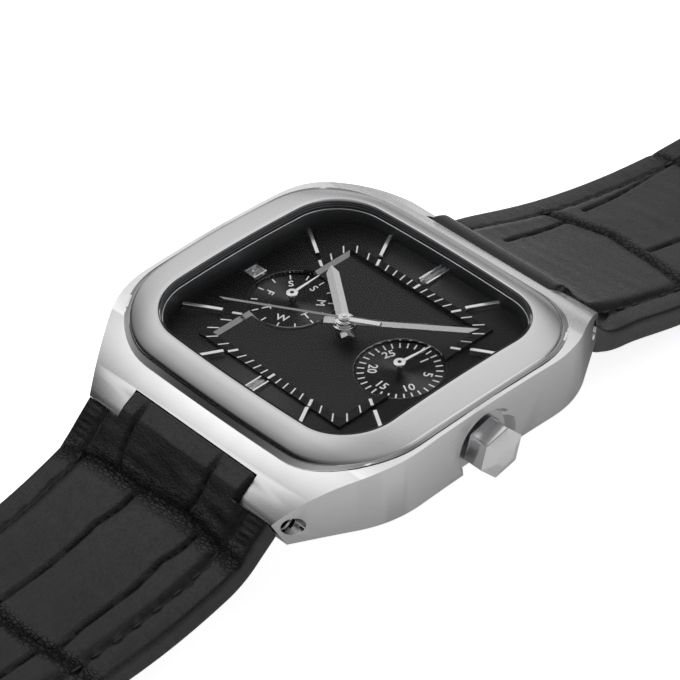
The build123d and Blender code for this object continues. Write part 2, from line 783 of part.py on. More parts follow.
def walk(start, heading, steps, offset):
    """Lines and tangent arcs from a start point; arcs turn upward and swell by the offset."""
    y, z = start
    edges = []
    for length, radius, turn in steps:
        a = radians(heading)
        end = (y + length * cos(a), z + length * sin(a))
        edges.append(Line((y, z), end))
        y, z = end
        if turn:
            grown = radius + offset
            centre = (y - grown * sin(a), z + grown * cos(a))
            b, m = radians(heading + turn), radians(heading + turn / 2)
            end = (centre[0] + grown * sin(b), centre[1] - grown * cos(b))
            middle = (centre[0] + grown * sin(m), centre[1] - grown * cos(m))
            edges.append(ThreePointArc((y, z), middle, end))
            y, z = end
            heading += turn
    return edges, (y, z)


def layer_outline(heading, steps, top_offset, bottom_offset):
    """Side outline of one layer of the strap, between two depths below its upper face."""
    a = radians(heading)
    starts = []
    for depth in (top_offset, bottom_offset):
        reach = tongue_radius - depth
        starts.append((lug_bar_y - reach * sin(a), lug_bar_z + reach * cos(a)))
    upper, upper_end = walk(starts[0], heading, steps, top_offset)
    lower, lower_end = walk(starts[1], heading, steps, bottom_offset)
    outline = upper + [Line(upper_end, lower_end)] + lower + [Line(starts[1], starts[0])]
    return make_face(outline)


def landed(heading, route, landing_radius, flat_top, end_y):
    """Route with a last bend that lays the upper face level at its height, then flat to its end."""
    a = radians(heading)
    start = (lug_bar_y - tongue_radius * sin(a), lug_bar_z + tongue_radius * cos(a))
    steps = list(route)
    _, here = walk(start, heading, steps, 0)
    slope = -radians(heading + sum(turn for _, _, turn in route))
    fall = here[1] - flat_top - landing_radius * (1 - cos(slope))
    steps.append((fall / sin(slope), landing_radius, degrees(slope)))
    _, here = walk(start, heading, steps, 0)
    return steps + [(end_y - here[0], 0, 0)]


def strap_half_at(y):
    """Half the strap's width at one place along it."""
    share = (y - taper_start_y) / (taper_end_y - taper_start_y)
    return strap_half_start + (strap_half_end - strap_half_start) * min(max(share, 0), 1)


def strap_plan(end_y):
    """Plan of a strap half: full width at the lugs, narrower toward its end."""
    half = strap_half_at(end_y)
    turn_y = min(end_y, taper_end_y)
    right = [(strap_half_start, 0), (strap_half_start, taper_start_y), (half, turn_y)]
    right += [(half, end_y)] if end_y > turn_y else []
    left = [(-x, y) for x, y in reversed(right)]
    return make_face(Polyline(*right, *left, right[0]))


def strap_layer(heading, steps, top_offset, bottom_offset, end_y):
    """One layer of a strap half, notched to a tongue between the lugs."""
    side_view = layer_outline(heading, steps, top_offset, bottom_offset)
    layer = across(side_view, strap_half_start + cut_over) & prism(strap_plan(end_y), -far_cut, far_cut)
    clear = rod_x(lug_corner_reach + shoulder_gap, -far_cut, far_cut, lug_bar_y, lug_bar_z)
    clear -= box_between((-tongue_half, 0, -far_cut), (tongue_half, far_cut, far_cut))
    return layer - clear


def lug_loop():
    """Leather wrapped round the lug bar, at the tongue's width."""
    return rod_x(tongue_radius, -tongue_half, tongue_half, lug_bar_y, lug_bar_z)


def lug_bore():
    return rod_x(bar_radius + slip_gap, -far_cut, far_cut, lug_bar_y, lug_bar_z)


def twelve_steps():
    return landed(twelve_heading, twelve_route, twelve_landing_radius, strap_flat_top, buckle_bar_y)


def tang_slot():
    """Slot in the strap's end where the tang turns."""
    return box_between((-strap_slot_half, buckle_bar_y - tang_slot_length, -far_cut),
                       (strap_slot_half, far_cut * 2, far_cut))


def make_strap_twelve():
    """Outer leather of the buckle half, wrapped round the lug bar and the buckle bar."""
    leather = strap_layer(twelve_heading, twelve_steps(), 0, leather_thickness, buckle_bar_y) + lug_loop()
    leather += rod_x(buckle_loop_radius, -strap_half_end, strap_half_end, buckle_bar_y, buckle_bar_z)
    leather -= rod_x(buckle_bar_radius + slip_gap, -far_cut, far_cut, buckle_bar_y, buckle_bar_z)
    return leather - lug_bore() - tang_slot()


def make_lining_twelve():
    lining = strap_layer(twelve_heading, twelve_steps(), leather_thickness, strap_thickness, buckle_bar_y)
    lining -= rod_x(buckle_loop_radius, -far_cut, far_cut, buckle_bar_y, buckle_bar_z)
    return lining - lug_loop() - tang_slot()


def six_layer(top_offset, bottom_offset):
    """One layer of the long half, lying flat on the table at its end."""
    steps = landed(six_heading, six_route, six_landing_radius, table_z + strap_thickness, tail_end_y)
    layer = strap_layer(six_heading, steps, top_offset, bottom_offset, tail_end_y)
    tip = fillet(strap_plan(tail_end_y).vertices().sort_by(Axis.Y)[-2:], tail_tip_radius)
    layer &= prism(tip, -far_cut, far_cut)
    for index in range(strap_hole_count):
        hole = Cylinder(strap_hole_radius, 2 * far_cut)
        layer -= Pos(0, strap_hole_first_y + index * strap_hole_pitch, 0) * hole
    return layer


def make_strap_six():
    """Outer leather of the long half with its adjustment holes."""
    return Rot(0, 0, 180) * (six_layer(0, leather_thickness) + lug_loop() - lug_bore())


def make_lining_six():
    return Rot(0, 0, 180) * (six_layer(leather_thickness, strap_thickness) - lug_loop())


def make_keeper(low_y, inner_half, under_gap):
    """Leather loop round the strap with room for the long half's end."""
    low = strap_flat_top - strap_thickness - under_gap
    high = strap_flat_top + keeper_room
    inner = span(-inner_half, inner_half, low, high)
    outer = span(-inner_half - keeper_wall, inner_half + keeper_wall, low - keeper_wall, high + keeper_wall)
    outer = fillet(outer.vertices(), keeper_wall)
    return Pos(0, low_y + keeper_length, 0) * extrude(Plane.XZ * (outer - inner), keeper_length)


def make_fixed_keeper():
    """Loop sewn to the strap beside the buckle."""
    return make_keeper(fixed_keeper_y, strap_half_at(fixed_keeper_y) + seat_gap, 0)


def make_free_keeper():
    """Loop that slides along the strap."""
    inner_half = strap_half_at(free_keeper_y - free_keeper_in) + soft_gap
    return make_keeper(free_keeper_y, inner_half, soft_gap)


def make_buckle_bar():
    reach = buckle_inner_half + buckle_side_width - buckle_edge_break
    return rod_x(buckle_bar_radius, -reach, reach, buckle_bar_y, buckle_bar_z)


def drooped(piece):
    """Turn a piece drawn level round the buckle bar until the frame's end meets the table."""
    return Pos(0, buckle_bar_y, buckle_bar_z) * Rot(-buckle_droop, 0, 0) * piece


def make_buckle_frame():
    """Polished frame with two ears on the bar and a cross bar for the tang."""
    outer_half = buckle_inner_half + buckle_side_width
    low_y = -buckle_ear_radius
    plan = Pos(0, (buckle_length + low_y) / 2) * Rectangle(2 * outer_half, buckle_length - low_y)
    plan = fillet(plan.vertices().sort_by(Axis.Y)[-2:], buckle_corner)
    window_end = buckle_length - buckle_bar_width
    window = Pos(0, (window_end - far_cut) / 2) * Rectangle(2 * buckle_inner_half, window_end + far_cut)
    window = fillet(window.vertices().sort_by(Axis.Y)[-2:], buckle_corner - buckle_edge_break)
    half_thick = buckle_thickness / 2
    frame = prism(plan - window, -half_thick, half_thick)
    ears = rod_x(buckle_ear_radius, -outer_half, outer_half, 0, 0)
    ears -= rod_x(far_cut, -buckle_inner_half, buckle_inner_half, 0, 0)
    frame -= box_between((-far_cut, -far_cut, -far_cut), (far_cut, 0, far_cut))
    frame += ears
    frame -= rod_x(buckle_bar_radius + slip_gap, -far_cut, far_cut, 0, 0)
    return drooped(frame)


def make_buckle_tang():
    """Tongue that turns on the bar and rests across the frame's cross bar."""
    rest = buckle_thickness / 2 + slip_gap
    start = buckle_length - buckle_bar_width - tang_thickness
    end = buckle_length - buckle_edge_break
    side_view = make_face(Polyline((0, tang_eye_radius - tang_thickness), (start, rest), (end, rest),
                                   (end, rest + tang_thickness), (start, rest + tang_thickness),
                                   (0, tang_eye_radius), (0, tang_eye_radius - tang_thickness)))
    side_view += Circle(tang_eye_radius)
    side_view -= Circle(buckle_bar_radius + slip_gap)
    return drooped(across(side_view, tang_width / 2))


def export(name, piece):
    """Write one named piece as a STEP file."""
    solids = []
    for item in piece if isinstance(piece, (list, tuple)) else [piece]:
        solids += item.solids()
    shape = solids[0] if len(solids) == 1 else Compound(children=solids)
    export_step(shape, os.path.join("parts", name + ".step"))
    print(name, len(solids), round(sum(s.volume for s in solids), 3))


makers = {
    "mid_case": make_mid_case,
    "bezel": make_bezel,
    "crystal": make_crystal,
    "crystal_gasket": make_crystal_gasket,
    "rehaut_ring": make_rehaut,
    "dial_plate": make_dial_plate,
    "minute_track_frame": make_track_frame,
    "hour_markers": make_hour_markers,
    "marker_stones": make_stones,
    "movement_holder": make_movement_holder,
    "movement_plate": make_movement_plate,
    "train_bridge": make_train_bridge,
    "battery": make_battery,
    "battery_clamp": make_battery_clamp,
    "circuit_board": make_circuit_board,
    "motor_coil": make_motor_coil,
    "caseback": make_caseback,
    "caseback_gasket": make_back_gasket,
    "caseback_screws": make_back_screws,
    "crown_tube": make_crown_tube,
    "lug_bar_twelve": lambda: make_lug_bar(1),
    "lug_bar_six": lambda: make_lug_bar(-1),
    "lug_bar_screws": make_lug_bar_screws,
    "setting_lever": make_setting_lever,
    "crown": make_crown,
    "crown_gasket": make_crown_gasket,
    "winding_stem": make_winding_stem,
    "hour_hand": make_hour_hand,
    "hour_wheel": make_hour_wheel,
    "minute_hand": make_minute_hand,
    "cannon_pinion": make_cannon_pinion,
    "second_hand": make_second_hand,
    "seconds_arbor": make_seconds_arbor,
    "day_hand": lambda: make_small_hand(-1),
    "day_arbor": lambda: make_small_arbor(-1),
    "date_hand": lambda: make_small_hand(1),
    "date_arbor": lambda: make_small_arbor(1),
    "strap_buckle_half": make_strap_twelve,
    "strap_buckle_lining": make_lining_twelve,
    "strap_hole_half": make_strap_six,
    "strap_hole_lining": make_lining_six,
    "fixed_keeper": make_fixed_keeper,
    "free_keeper": make_free_keeper,
    "buckle_bar": make_buckle_bar,
    "buckle_frame": make_buckle_frame,
    "buckle_tang": make_buckle_tang,
}

os.makedirs("parts", exist_ok=True)
for node, maker in makers.items():
    export(node, maker())
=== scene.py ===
from math import cos, exp, log, pi, radians, sin, sqrt, tan

import bmesh
import bpy
import numpy as np
from mathutils import Matrix, Vector


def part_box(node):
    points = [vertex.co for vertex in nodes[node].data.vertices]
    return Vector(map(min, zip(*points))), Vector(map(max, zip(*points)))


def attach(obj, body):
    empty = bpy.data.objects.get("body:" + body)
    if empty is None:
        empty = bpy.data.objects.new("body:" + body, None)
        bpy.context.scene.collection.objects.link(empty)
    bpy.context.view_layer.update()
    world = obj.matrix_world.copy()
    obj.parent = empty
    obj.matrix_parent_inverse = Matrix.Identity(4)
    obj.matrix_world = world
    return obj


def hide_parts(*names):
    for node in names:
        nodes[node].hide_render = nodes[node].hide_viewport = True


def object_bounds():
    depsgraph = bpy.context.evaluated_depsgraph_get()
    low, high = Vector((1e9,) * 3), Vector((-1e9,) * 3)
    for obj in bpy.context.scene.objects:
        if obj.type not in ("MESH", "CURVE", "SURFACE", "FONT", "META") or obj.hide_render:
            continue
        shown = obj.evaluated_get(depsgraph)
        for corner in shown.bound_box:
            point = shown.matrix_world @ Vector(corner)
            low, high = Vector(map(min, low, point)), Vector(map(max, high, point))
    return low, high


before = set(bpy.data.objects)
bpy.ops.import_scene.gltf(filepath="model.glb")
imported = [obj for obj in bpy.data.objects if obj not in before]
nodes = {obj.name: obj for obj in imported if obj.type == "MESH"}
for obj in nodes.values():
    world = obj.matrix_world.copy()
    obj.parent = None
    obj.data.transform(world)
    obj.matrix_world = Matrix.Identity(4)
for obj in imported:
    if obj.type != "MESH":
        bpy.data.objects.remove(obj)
cad_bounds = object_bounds()
MM = 0.001


# Shader helpers


def put(tree, term, socket):
    """A plain value, or another socket's output, into an input."""
    if isinstance(term, bpy.types.NodeSocket):
        tree.links.new(term, socket)
    else:
        socket.default_value = term


def add(tree, kind, inputs=None, **settings):
    """A shader node with its settings and its inputs, each a plain value or a socket."""
    made = tree.nodes.new("ShaderNode" + kind)
    for name, value in settings.items():
        setattr(made, name, value)
    for name, value in (inputs or {}).items():
        put(tree, value, made.inputs[name])
    return made


def maths(tree, operation, *terms):
    """One sum; each term is a socket or a number."""
    return add(tree, "Math", dict(enumerate(terms)), operation=operation).outputs[0]


def vector(tree, operation, *terms):
    """One vector sum; each term is a socket or three numbers. Gives its outputs."""
    return add(tree, "VectorMath", dict(enumerate(terms)), operation=operation).outputs


def scaled(tree, first, share):
    """A colour or vector times a share."""
    return add(tree, "VectorMath", {0: first, "Scale": share}, operation="SCALE").outputs[0]


def parts(tree, source):
    """X, Y and Z of a vector."""
    return add(tree, "SeparateXYZ", {0: source}).outputs


def ramp(tree, value, *stops):
    """Colour or grey ramp from (position, grey or colour) stops."""
    made = add(tree, "ValToRGB", {0: value})
    elements = made.color_ramp.elements
    while len(elements) < len(stops):
        elements.new(0.5)
    for element, (position, colour) in zip(elements, stops):
        element.position = position
        element.color = (*colour, 1) if isinstance(colour, tuple) else (colour, colour, colour, 1)
    return made.outputs[0]


def bumped(tree, height, strength, distance):
    """Normal tipped by a height, with the distance in metres."""
    return add(tree, "Bump", {"Strength": strength, "Distance": distance, "Height": height}).outputs[0]


def bare_place(tree):
    """Place on the piece in metres."""
    return add(tree, "TexCoord").outputs["Object"]


def object_place(tree, stretch=(1, 1, 1)):
    """Place on the piece in millimetres, stretched by a mapping."""
    scale = [1000 * value for value in stretch]
    return add(tree, "Mapping", {"Vector": bare_place(tree), "Scale": scale}).outputs["Vector"]


def mottle(tree, scale, detail=2.0, stretch=(1, 1, 1)):
    """Cloudy noise over the piece, with its scale in waves per millimetre."""
    return add(tree, "TexNoise", {"Vector": object_place(tree, stretch), "Scale": scale, "Detail": detail}).outputs[0]


def finish(name, **values):
    """Material with plain values set on its shader; gives the material and its tree."""
    material = bpy.data.materials.new(name)
    material.use_nodes = True
    return dress(material, **values), material.node_tree


def dress(material, **sources):
    """Values and sockets for the material's shader, by the names of its inputs."""
    tree = material.node_tree
    shader = tree.nodes["Principled BSDF"]
    for label, source in sources.items():
        put(tree, source, shader.inputs[label.replace("_", " ")])
    return material


def group(name, inputs, outputs, build):
    """Shared shader node group; build gets the tree, its inputs and its outputs."""
    tree = bpy.data.node_groups.new(name, "ShaderNodeTree")
    for label, kind, value in inputs:
        made = tree.interface.new_socket(label, in_out="INPUT", socket_type="NodeSocket" + kind)
        if value is not None:
            made.default_value = value
    for label, kind in outputs:
        tree.interface.new_socket(label, in_out="OUTPUT", socket_type="NodeSocket" + kind)
    start = tree.nodes.new("NodeGroupInput")
    end = tree.nodes.new("NodeGroupOutput")
    build(tree, start.outputs, end.inputs)
    return tree


# Studio: camera, soft light, pale floor

CAMERA_PLACE = (169.89, -146.10, 187.49)
CAMERA_ROUND, CAMERA_UP, CAMERA_ROLL = 49.447, 39.132, -3.352
LENS, SENSOR = 158.96, 36
ROOM_RAMP = ((0.0, 0.06), (0.5, 0.08), (0.62, 0.14), (0.78, 0.28), (1.0, 0.40))
# Soft patches of the room: way towards it, half width in degrees, how much lighter or darker
SKY_PATCHES = (
    ((-0.59, -0.21, 0.78), 23, 0.98),
    ((-0.60, 0.62, 0.50), 33, 0.56),
    ((0.25, 0.50, 0.81), 20, 0.78),
    ((-0.52, -0.85, 0.05), 35, -0.20),
)
# Lamps: name, place, size in millimetres, power in watts
SOFT_BOXES = (
    ("box_left", (-300, 330, 300), (300, 360), 0.50),
    ("box_right", (330, 160, 300), (160, 260), 0.22),
    ("box_top", (40, 60, 560), (220, 220), 0.28),
)
LAMP_AIM = Vector((0, 0, 5))
FLOOR_HALF = 0.45


def set_camera():
    """Camera at the photograph's angle."""
    data = bpy.data.cameras.new("view")
    data.sensor_width = SENSOR
    data.lens = LENS
    data.clip_start = 0.01
    camera = bpy.data.objects.new("view", data)
    bpy.context.scene.collection.objects.link(camera)
    turn = Matrix.Rotation(radians(CAMERA_ROUND), 4, "Z") @ Matrix.Rotation(radians(90 - CAMERA_UP), 4, "X")
    turn = turn @ Matrix.Rotation(radians(CAMERA_ROLL), 4, "Z")
    camera.matrix_world = Matrix.Translation(Vector(CAMERA_PLACE) * MM) @ turn
    bpy.context.scene.camera = camera


def soft_box(name, place, size, power):
    """Area lamp that looks at the watch."""
    data = bpy.data.lights.new(name, "AREA")
    data.shape = "RECTANGLE"
    data.size, data.size_y = size[0] * MM, size[1] * MM
    data.energy = power
    lamp = bpy.data.objects.new(name, data)
    bpy.context.scene.collection.objects.link(lamp)
    look = (LAMP_AIM - Vector(place)).to_track_quat("-Z", "Y").to_matrix().to_4x4()
    lamp.matrix_world = Matrix.Translation(Vector(place) * MM) @ look
    lamp.visible_glossy = False


def sky_patch(tree, here, towards, spread, amount):
    """Soft round patch in the room, lighter or darker; spread is its half width in degrees."""
    near = vector(tree, "DOT_PRODUCT", here, Vector(towards).normalized())["Value"]
    away = maths(tree, "MULTIPLY", maths(tree, "SUBTRACT", 1, near), 1 / (1 - cos(radians(spread))))
    away = maths(tree, "MULTIPLY", maths(tree, "MULTIPLY", away, away), -1)
    return maths(tree, "MULTIPLY", maths(tree, "EXPONENT", away), amount)


def make_studio():
    """Pale floor under the strap, soft boxes and a grey room."""
    bpy.context.scene.view_settings.view_transform = "Standard"
    world = bpy.data.worlds.new("room")
    bpy.context.scene.world = world
    world.use_nodes = True
    tree = world.node_tree
    tree.nodes.clear()
    here = add(tree, "TexCoord").outputs["Generated"]
    light = ramp(tree, maths(tree, "MULTIPLY_ADD", parts(tree, here)["Z"], 0.5, 0.5), *ROOM_RAMP)
    for patch in SKY_PATCHES:
        light = maths(tree, "ADD", light, sky_patch(tree, here, *patch))
    back = add(tree, "Background", {"Color": (1, 1, 1, 1), "Strength": maths(tree, "MAXIMUM", light, 0.01)})
    add(tree, "OutputWorld", {0: back.outputs[0]})
    for box in SOFT_BOXES:
        soft_box(*box)
    bm = bmesh.new()
    bmesh.ops.create_grid(bm, x_segments=2, y_segments=2, size=FLOOR_HALF)
    bmesh.ops.translate(bm, verts=bm.verts, vec=(0, 0, cad_bounds[0][2]))
    as_object("floor", bm, [floor_finish()], 1, None)


def floor_finish():
    """Matt pale floor that the camera and glass see as white, with the watch's shadow kept."""
    material, tree = finish("pale_floor", Roughness=0.9, Specular_IOR_Level=0.1, Emission_Color=(1, 1, 1, 1))
    path = add(tree, "LightPath").outputs
    seen = maths(tree, "MAXIMUM", path["Is Camera Ray"], path["Is Transmission Ray"])
    cloud = mottle(tree, 2.0, 2.0, (0.002, 0.002, 0.002))
    return dress(material, Base_Color=ramp(tree, cloud, (0.3, 0.84), (0.7, 0.86)),
                 Emission_Strength=maths(tree, "MULTIPLY", seen, 0.85))


# Mesh helpers; sizes are in millimetres unless a name says otherwise


def as_object(name, bm, materials, scale, smooth):
    """Mesh object from a bmesh; smooth is the angle in degrees past which an edge stays sharp."""
    if scale != 1:
        bmesh.ops.scale(bm, verts=bm.verts, vec=(scale, scale, scale))
    mesh = bpy.data.meshes.new(name)
    bm.to_mesh(mesh)
    bm.free()
    for material in materials:
        mesh.materials.append(material)
    if smooth is not None:
        mesh.shade_smooth()
        mesh.set_sharp_from_angle(angle=radians(smooth))
    made = bpy.data.objects.new(name, mesh)
    bpy.context.scene.collection.objects.link(made)
    return made


def piece(name, bm, body, materials, replaces=(), smooth=35, scale=MM, closed=True):
    """Finished piece that rides on a body and may stand for CAD nodes."""
    if closed:
        bmesh.ops.recalc_face_normals(bm, faces=bm.faces)
        if bm.calc_volume(signed=True) < 0:
            bmesh.ops.reverse_faces(bm, faces=bm.faces)
    made = as_object(name, bm, materials if isinstance(materials, list) else [materials], scale, smooth)
    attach(made, body)
    if replaces:
        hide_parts(*replaces)
    return made


def spin(angle, axis="Z"):
    """Turn by an angle in degrees."""
    return Matrix.Rotation(radians(angle), 3, axis)


def turned(bm, verts, turn, place=(0, 0, 0)):
    """Turn some vertices about the origin, then move them."""
    bmesh.ops.rotate(bm, verts=verts, cent=(0, 0, 0), matrix=turn)
    bmesh.ops.translate(bm, verts=verts, vec=place)
    return verts


def moved(bm, verts, place):
    bmesh.ops.translate(bm, verts=verts, vec=place)
    return verts


def block(bm, low, high):
    """Box between two corners; gives its vertices."""
    verts = bmesh.ops.create_cube(bm, size=1)["verts"]
    bmesh.ops.scale(bm, verts=verts, vec=[b - a for a, b in zip(low, high)])
    return moved(bm, verts, [(a + b) / 2 for a, b in zip(low, high)])


def disc(bm, radius, low, high, segments=48, top_radius=None):
    """Upright turned blank; gives its vertices."""
    top_radius = radius if top_radius is None else top_radius
    verts = bmesh.ops.create_cone(bm, cap_ends=True, segments=segments, radius1=radius, radius2=top_radius,
                                  depth=high - low)["verts"]
    return moved(bm, verts, (0, 0, (low + high) / 2))


def verts_of(items):
    return [item for item in items if isinstance(item, bmesh.types.BMVert)]


def edges_of(verts):
    return list({edge for vert in verts for edge in vert.link_edges})


def edges_above(verts, level):
    """Edges of some vertices that lie wholly above a level."""
    return [edge for edge in edges_of(verts) if min(vert.co.z for vert in edge.verts) > level]


def level_edges(verts):
    """Edges of some vertices that run level."""
    return [edge for edge in edges_of(verts) if abs(edge.verts[0].co.z - edge.verts[1].co.z) < 1e-4]


def open_edges(bm):
    return [edge for edge in bm.edges if len(edge.link_faces) == 1]


def close_ring(bm):
    """Faces between the open ends of a band."""
    bmesh.ops.bridge_loops(bm, edges=open_edges(bm))


def soften(bm, edges, width, segments=2):
    """Small rounded bevel on some edges."""
    bmesh.ops.bevel(bm, geom=edges, offset=width, offset_type="OFFSET", segments=segments, profile=0.5,
                    affect="EDGES", material=-1, clamp_overlap=True)


def node_copy(node, edge_width, angle=32, segments=2):
    """Merged copy of a CAD node in metres; edges sharper than an angle in degrees are broken."""
    bm = bmesh.new()
    bm.from_mesh(nodes[node].data)
    bmesh.ops.remove_doubles(bm, verts=bm.verts, dist=2e-6)
    bmesh.ops.dissolve_limit(bm, angle_limit=radians(0.6), verts=bm.verts, edges=bm.edges,
                             use_dissolve_boundaries=False)
    sharp = [edge for edge in bm.edges if len(edge.link_faces) == 2 and edge.calc_face_angle(0) > radians(angle)]
    soften(bm, sharp, edge_width * MM, segments)
    return bm


def outline(half_x, half_y, bulge_x, bulge_y, corner, corner_steps=16, side_steps=12):
    """Points of a rounded rectangle with swelling sides, anticlockwise from the middle of the right side."""
    points = []
    straight_x, straight_y = half_x - corner, half_y - corner
    for sign_x, sign_y, start in ((1, 1, 0), (-1, 1, 90), (-1, -1, 180), (1, -1, 270)):
        upright = [(sign_x * half_x, sign_y * straight_y * step / side_steps) for step in range(side_steps + 1)]
        level = [(sign_x * straight_x * step / side_steps, sign_y * half_y) for step in range(side_steps + 1)]
        before, after = (upright, level) if start in (0, 180) else (level, upright)
        points += before[:-1]
        for step in range(corner_steps):
            angle = radians(start + 90 * step / corner_steps)
            points.append((sign_x * straight_x + corner * cos(angle), sign_y * straight_y + corner * sin(angle)))
        points += after[:0:-1]
    return [(x * (1 - bulge_x / half_x * (y / half_y) ** 2), y * (1 - bulge_y / half_y * (x / half_x) ** 2))
            for x, y in points]


def ring_body(bm, stations, marks=()):
    """Band of faces through stations of as many points; values after x, y and z go to the mark layers."""

    def settle(verts, points):
        for vert, point in zip(verts, points):
            vert.co = point[:3]
            for layer, value in zip(marks, point[3:]):
                vert[layer] = value

    first = bmesh.ops.create_circle(bm, cap_ends=False, radius=1, segments=len(stations[0]))["verts"]
    settle(first, stations[0])
    edges = edges_of(first)
    ordered = list(first)
    for station in stations[1:]:
        fresh = set(verts_of(bmesh.ops.extrude_edge_only(bm, edges=edges)["geom"]))
        partner = {}
        for old in ordered:
            for edge in old.link_edges:
                other = edge.other_vert(old)
                if other in fresh:
                    partner[old] = other
        ordered = [partner[old] for old in ordered]
        settle(ordered, station)
        kept = set(ordered)
        edges = [edge for edge in edges_of(ordered) if edge.verts[0] in kept and edge.verts[1] in kept]
    return first


# Finishes


def build_brushed(tree, given, result):
    """Fine lines that tip the surface to one side, as a brush leaves them, and slow cloudy wear."""
    lines = add(tree, "TexNoise", {"Vector": given["Lines"], "Scale": 1.0, "Detail": 5.0, "Roughness": 0.7}).outputs[0]
    off = maths(tree, "SUBTRACT", lines, 0.5)
    lean = scaled(tree, given["Across"], maths(tree, "MULTIPLY", off, given["Tilt"]))
    tipped = vector(tree, "ADD", add(tree, "NewGeometry").outputs["Normal"], lean)[0]
    put(tree, vector(tree, "NORMALIZE", tipped)[0], result["Normal"])
    spread = maths(tree, "MULTIPLY_ADD", off, 0.12, given["Roughness"])
    cloud = maths(tree, "SUBTRACT", mottle(tree, 0.35, 3.0), 0.5)
    put(tree, maths(tree, "MULTIPLY_ADD", cloud, 0.10, spread), result["Roughness"])
    put(tree, maths(tree, "MULTIPLY_ADD", lines, 0.16, 0.92), result["Shade"])


brushed = group("brushed_lines",
                (("Lines", "Vector", None), ("Across", "Vector", None), ("Tilt", "Float", 0.2),
                 ("Roughness", "Float", 0.3)),
                (("Normal", "Vector"), ("Roughness", "Float"), ("Shade", "Float")), build_brushed)


def brush(tree, lines, across, tilt, roughness):
    """The shared brushed lines with their own place and way; gives the outputs."""
    given = {"Lines": lines, "Across": across, "Tilt": tilt, "Roughness": roughness}
    return add(tree, "Group", given, node_tree=brushed).outputs


def build_hide(tree, given, result):
    """Leather grain: pores, fine creases and a worn, patchy dye."""
    place = object_place(tree)
    wide = add(tree, "TexNoise", {"Vector": place, "Scale": 0.55, "Detail": 4.0, "Distortion": 0.6}).outputs[0]
    pores = add(tree, "TexVoronoi", {"Vector": place, "Scale": 3.4}, feature="DISTANCE_TO_EDGE").outputs["Distance"]
    creases = add(tree, "TexNoise", {"Vector": place, "Scale": 1.6, "Detail": 6.0, "Roughness": 0.62,
                                     "Distortion": 1.4}).outputs[0]
    cell = ramp(tree, pores, (0.0, 0.0), (0.09, 1.0))
    fold = ramp(tree, creases, (0.36, 0.0), (0.5, 0.8), (0.7, 1.0))
    put(tree, maths(tree, "MULTIPLY_ADD", fold, 0.8, maths(tree, "MULTIPLY", cell, given["Pores"])), result["Height"])
    put(tree, maths(tree, "MULTIPLY_ADD", wide, 0.9, maths(tree, "MULTIPLY", fold, 0.35)), result["Dye"])
    put(tree, maths(tree, "MULTIPLY_ADD", fold, -0.12, given["Roughness"]), result["Roughness"])


hide = group("hide_grain", (("Pores", "Float", 0.25), ("Roughness", "Float", 0.5)),
             (("Height", "Float"), ("Dye", "Float"), ("Roughness", "Float")), build_hide)


def linear_steel(name, tone, roughness, tilt, across, lines, low=1.0):
    """Steel brushed in straight lines; across is the way that the lines tip the surface.

    Low is the share of the tone that is left at the foot of the case, and twelve's end is dimmed with it; this
    darkening is painted shade.
    """
    material, tree = finish(name, Metallic=1.0)
    made = brush(tree, object_place(tree, lines), across, tilt, roughness)
    place = parts(tree, object_place(tree))
    # Painted shade: the tone darkens toward the foot of the case and toward twelve's end.
    painted_foot_shade = ramp(tree, maths(tree, "DIVIDE", place["Z"], 8.0), (0.05, low), (1.0, 1.0))
    along = maths(tree, "MULTIPLY_ADD", place["Y"], 0.02, 0.5)
    along = ramp(tree, along, (0.3, 1.0), (0.55, (1 + low) / 2), (0.85, low))
    share = maths(tree, "MULTIPLY", made["Shade"], maths(tree, "MULTIPLY", painted_foot_shade, along))
    return dress(material, Base_Color=scaled(tree, (tone, tone, tone * 1.01), share),
                 Roughness=made["Roughness"], Normal=made["Normal"])


def rolled_steel(name, tone, roughness):
    """Satin steel with painted shade that darkens it toward the rolled outer edge and toward six and twelve, by the
    mark that the mesh carries.
    """
    material, tree = finish(name, Metallic=1.0)
    made = brush(tree, object_place(tree, (0.4, 16, 16)), (0, 1, 0), 0.05, roughness)
    painted_roll_shade = add(tree, "Attribute", attribute_name="painted_roll_shade").outputs["Fac"]
    # Painted shade: the tone falls as the mark grows.
    share = ramp(tree, painted_roll_shade, (0.0, tone), (0.3, tone * 0.86), (0.65, tone * 0.50), (1.0, tone * 0.34))
    return dress(material, Base_Color=scaled(tree, share, made["Shade"]), Roughness=made["Roughness"],
                 Normal=made["Normal"])


def shades(tree, noise, colour, low, high):
    """A colour that wanders between two shares of itself."""
    return ramp(tree, noise, (0.3, tuple(part * low for part in colour)),
                (0.7, tuple(min(part * high, 1) for part in colour)))


def smooth_metal(name, colour, roughness, bump=0.02, scale=6.0):
    """Polished or plain metal with faint unevenness and handling marks."""
    material, tree = finish(name, Metallic=1.0)
    noise = mottle(tree, scale, 4.0)
    return dress(material, Base_Color=shades(tree, noise, colour, 0.93, 1.05),
                 Roughness=maths(tree, "MULTIPLY_ADD", noise, roughness * 0.5, roughness * 0.75),
                 Normal=bumped(tree, noise, bump, 0.0001))


def plain_colour(name, colour, roughness, scale=4.0):
    """Moulded or printed part, or thread, with a slight mottle and a fine uneven skin."""
    material, tree = finish(name)
    noise = mottle(tree, scale, 3.0)
    return dress(material, Base_Color=shades(tree, noise, colour, 0.85, 1.1),
                 Roughness=maths(tree, "MULTIPLY_ADD", noise, 0.15, roughness - 0.07),
                 Normal=bumped(tree, noise, 0.2, 0.00003))


def gasket_rubber(name, tone, roughness):
    """Dark rubber with a faint mottle."""
    material, tree = finish(name)
    noise = mottle(tree, 3.0, 3.0)
    return dress(material, Base_Color=shades(tree, noise, (tone, tone, tone), 0.85, 1.1),
                 Roughness=maths(tree, "MULTIPLY_ADD", noise, 0.1, roughness - 0.05))


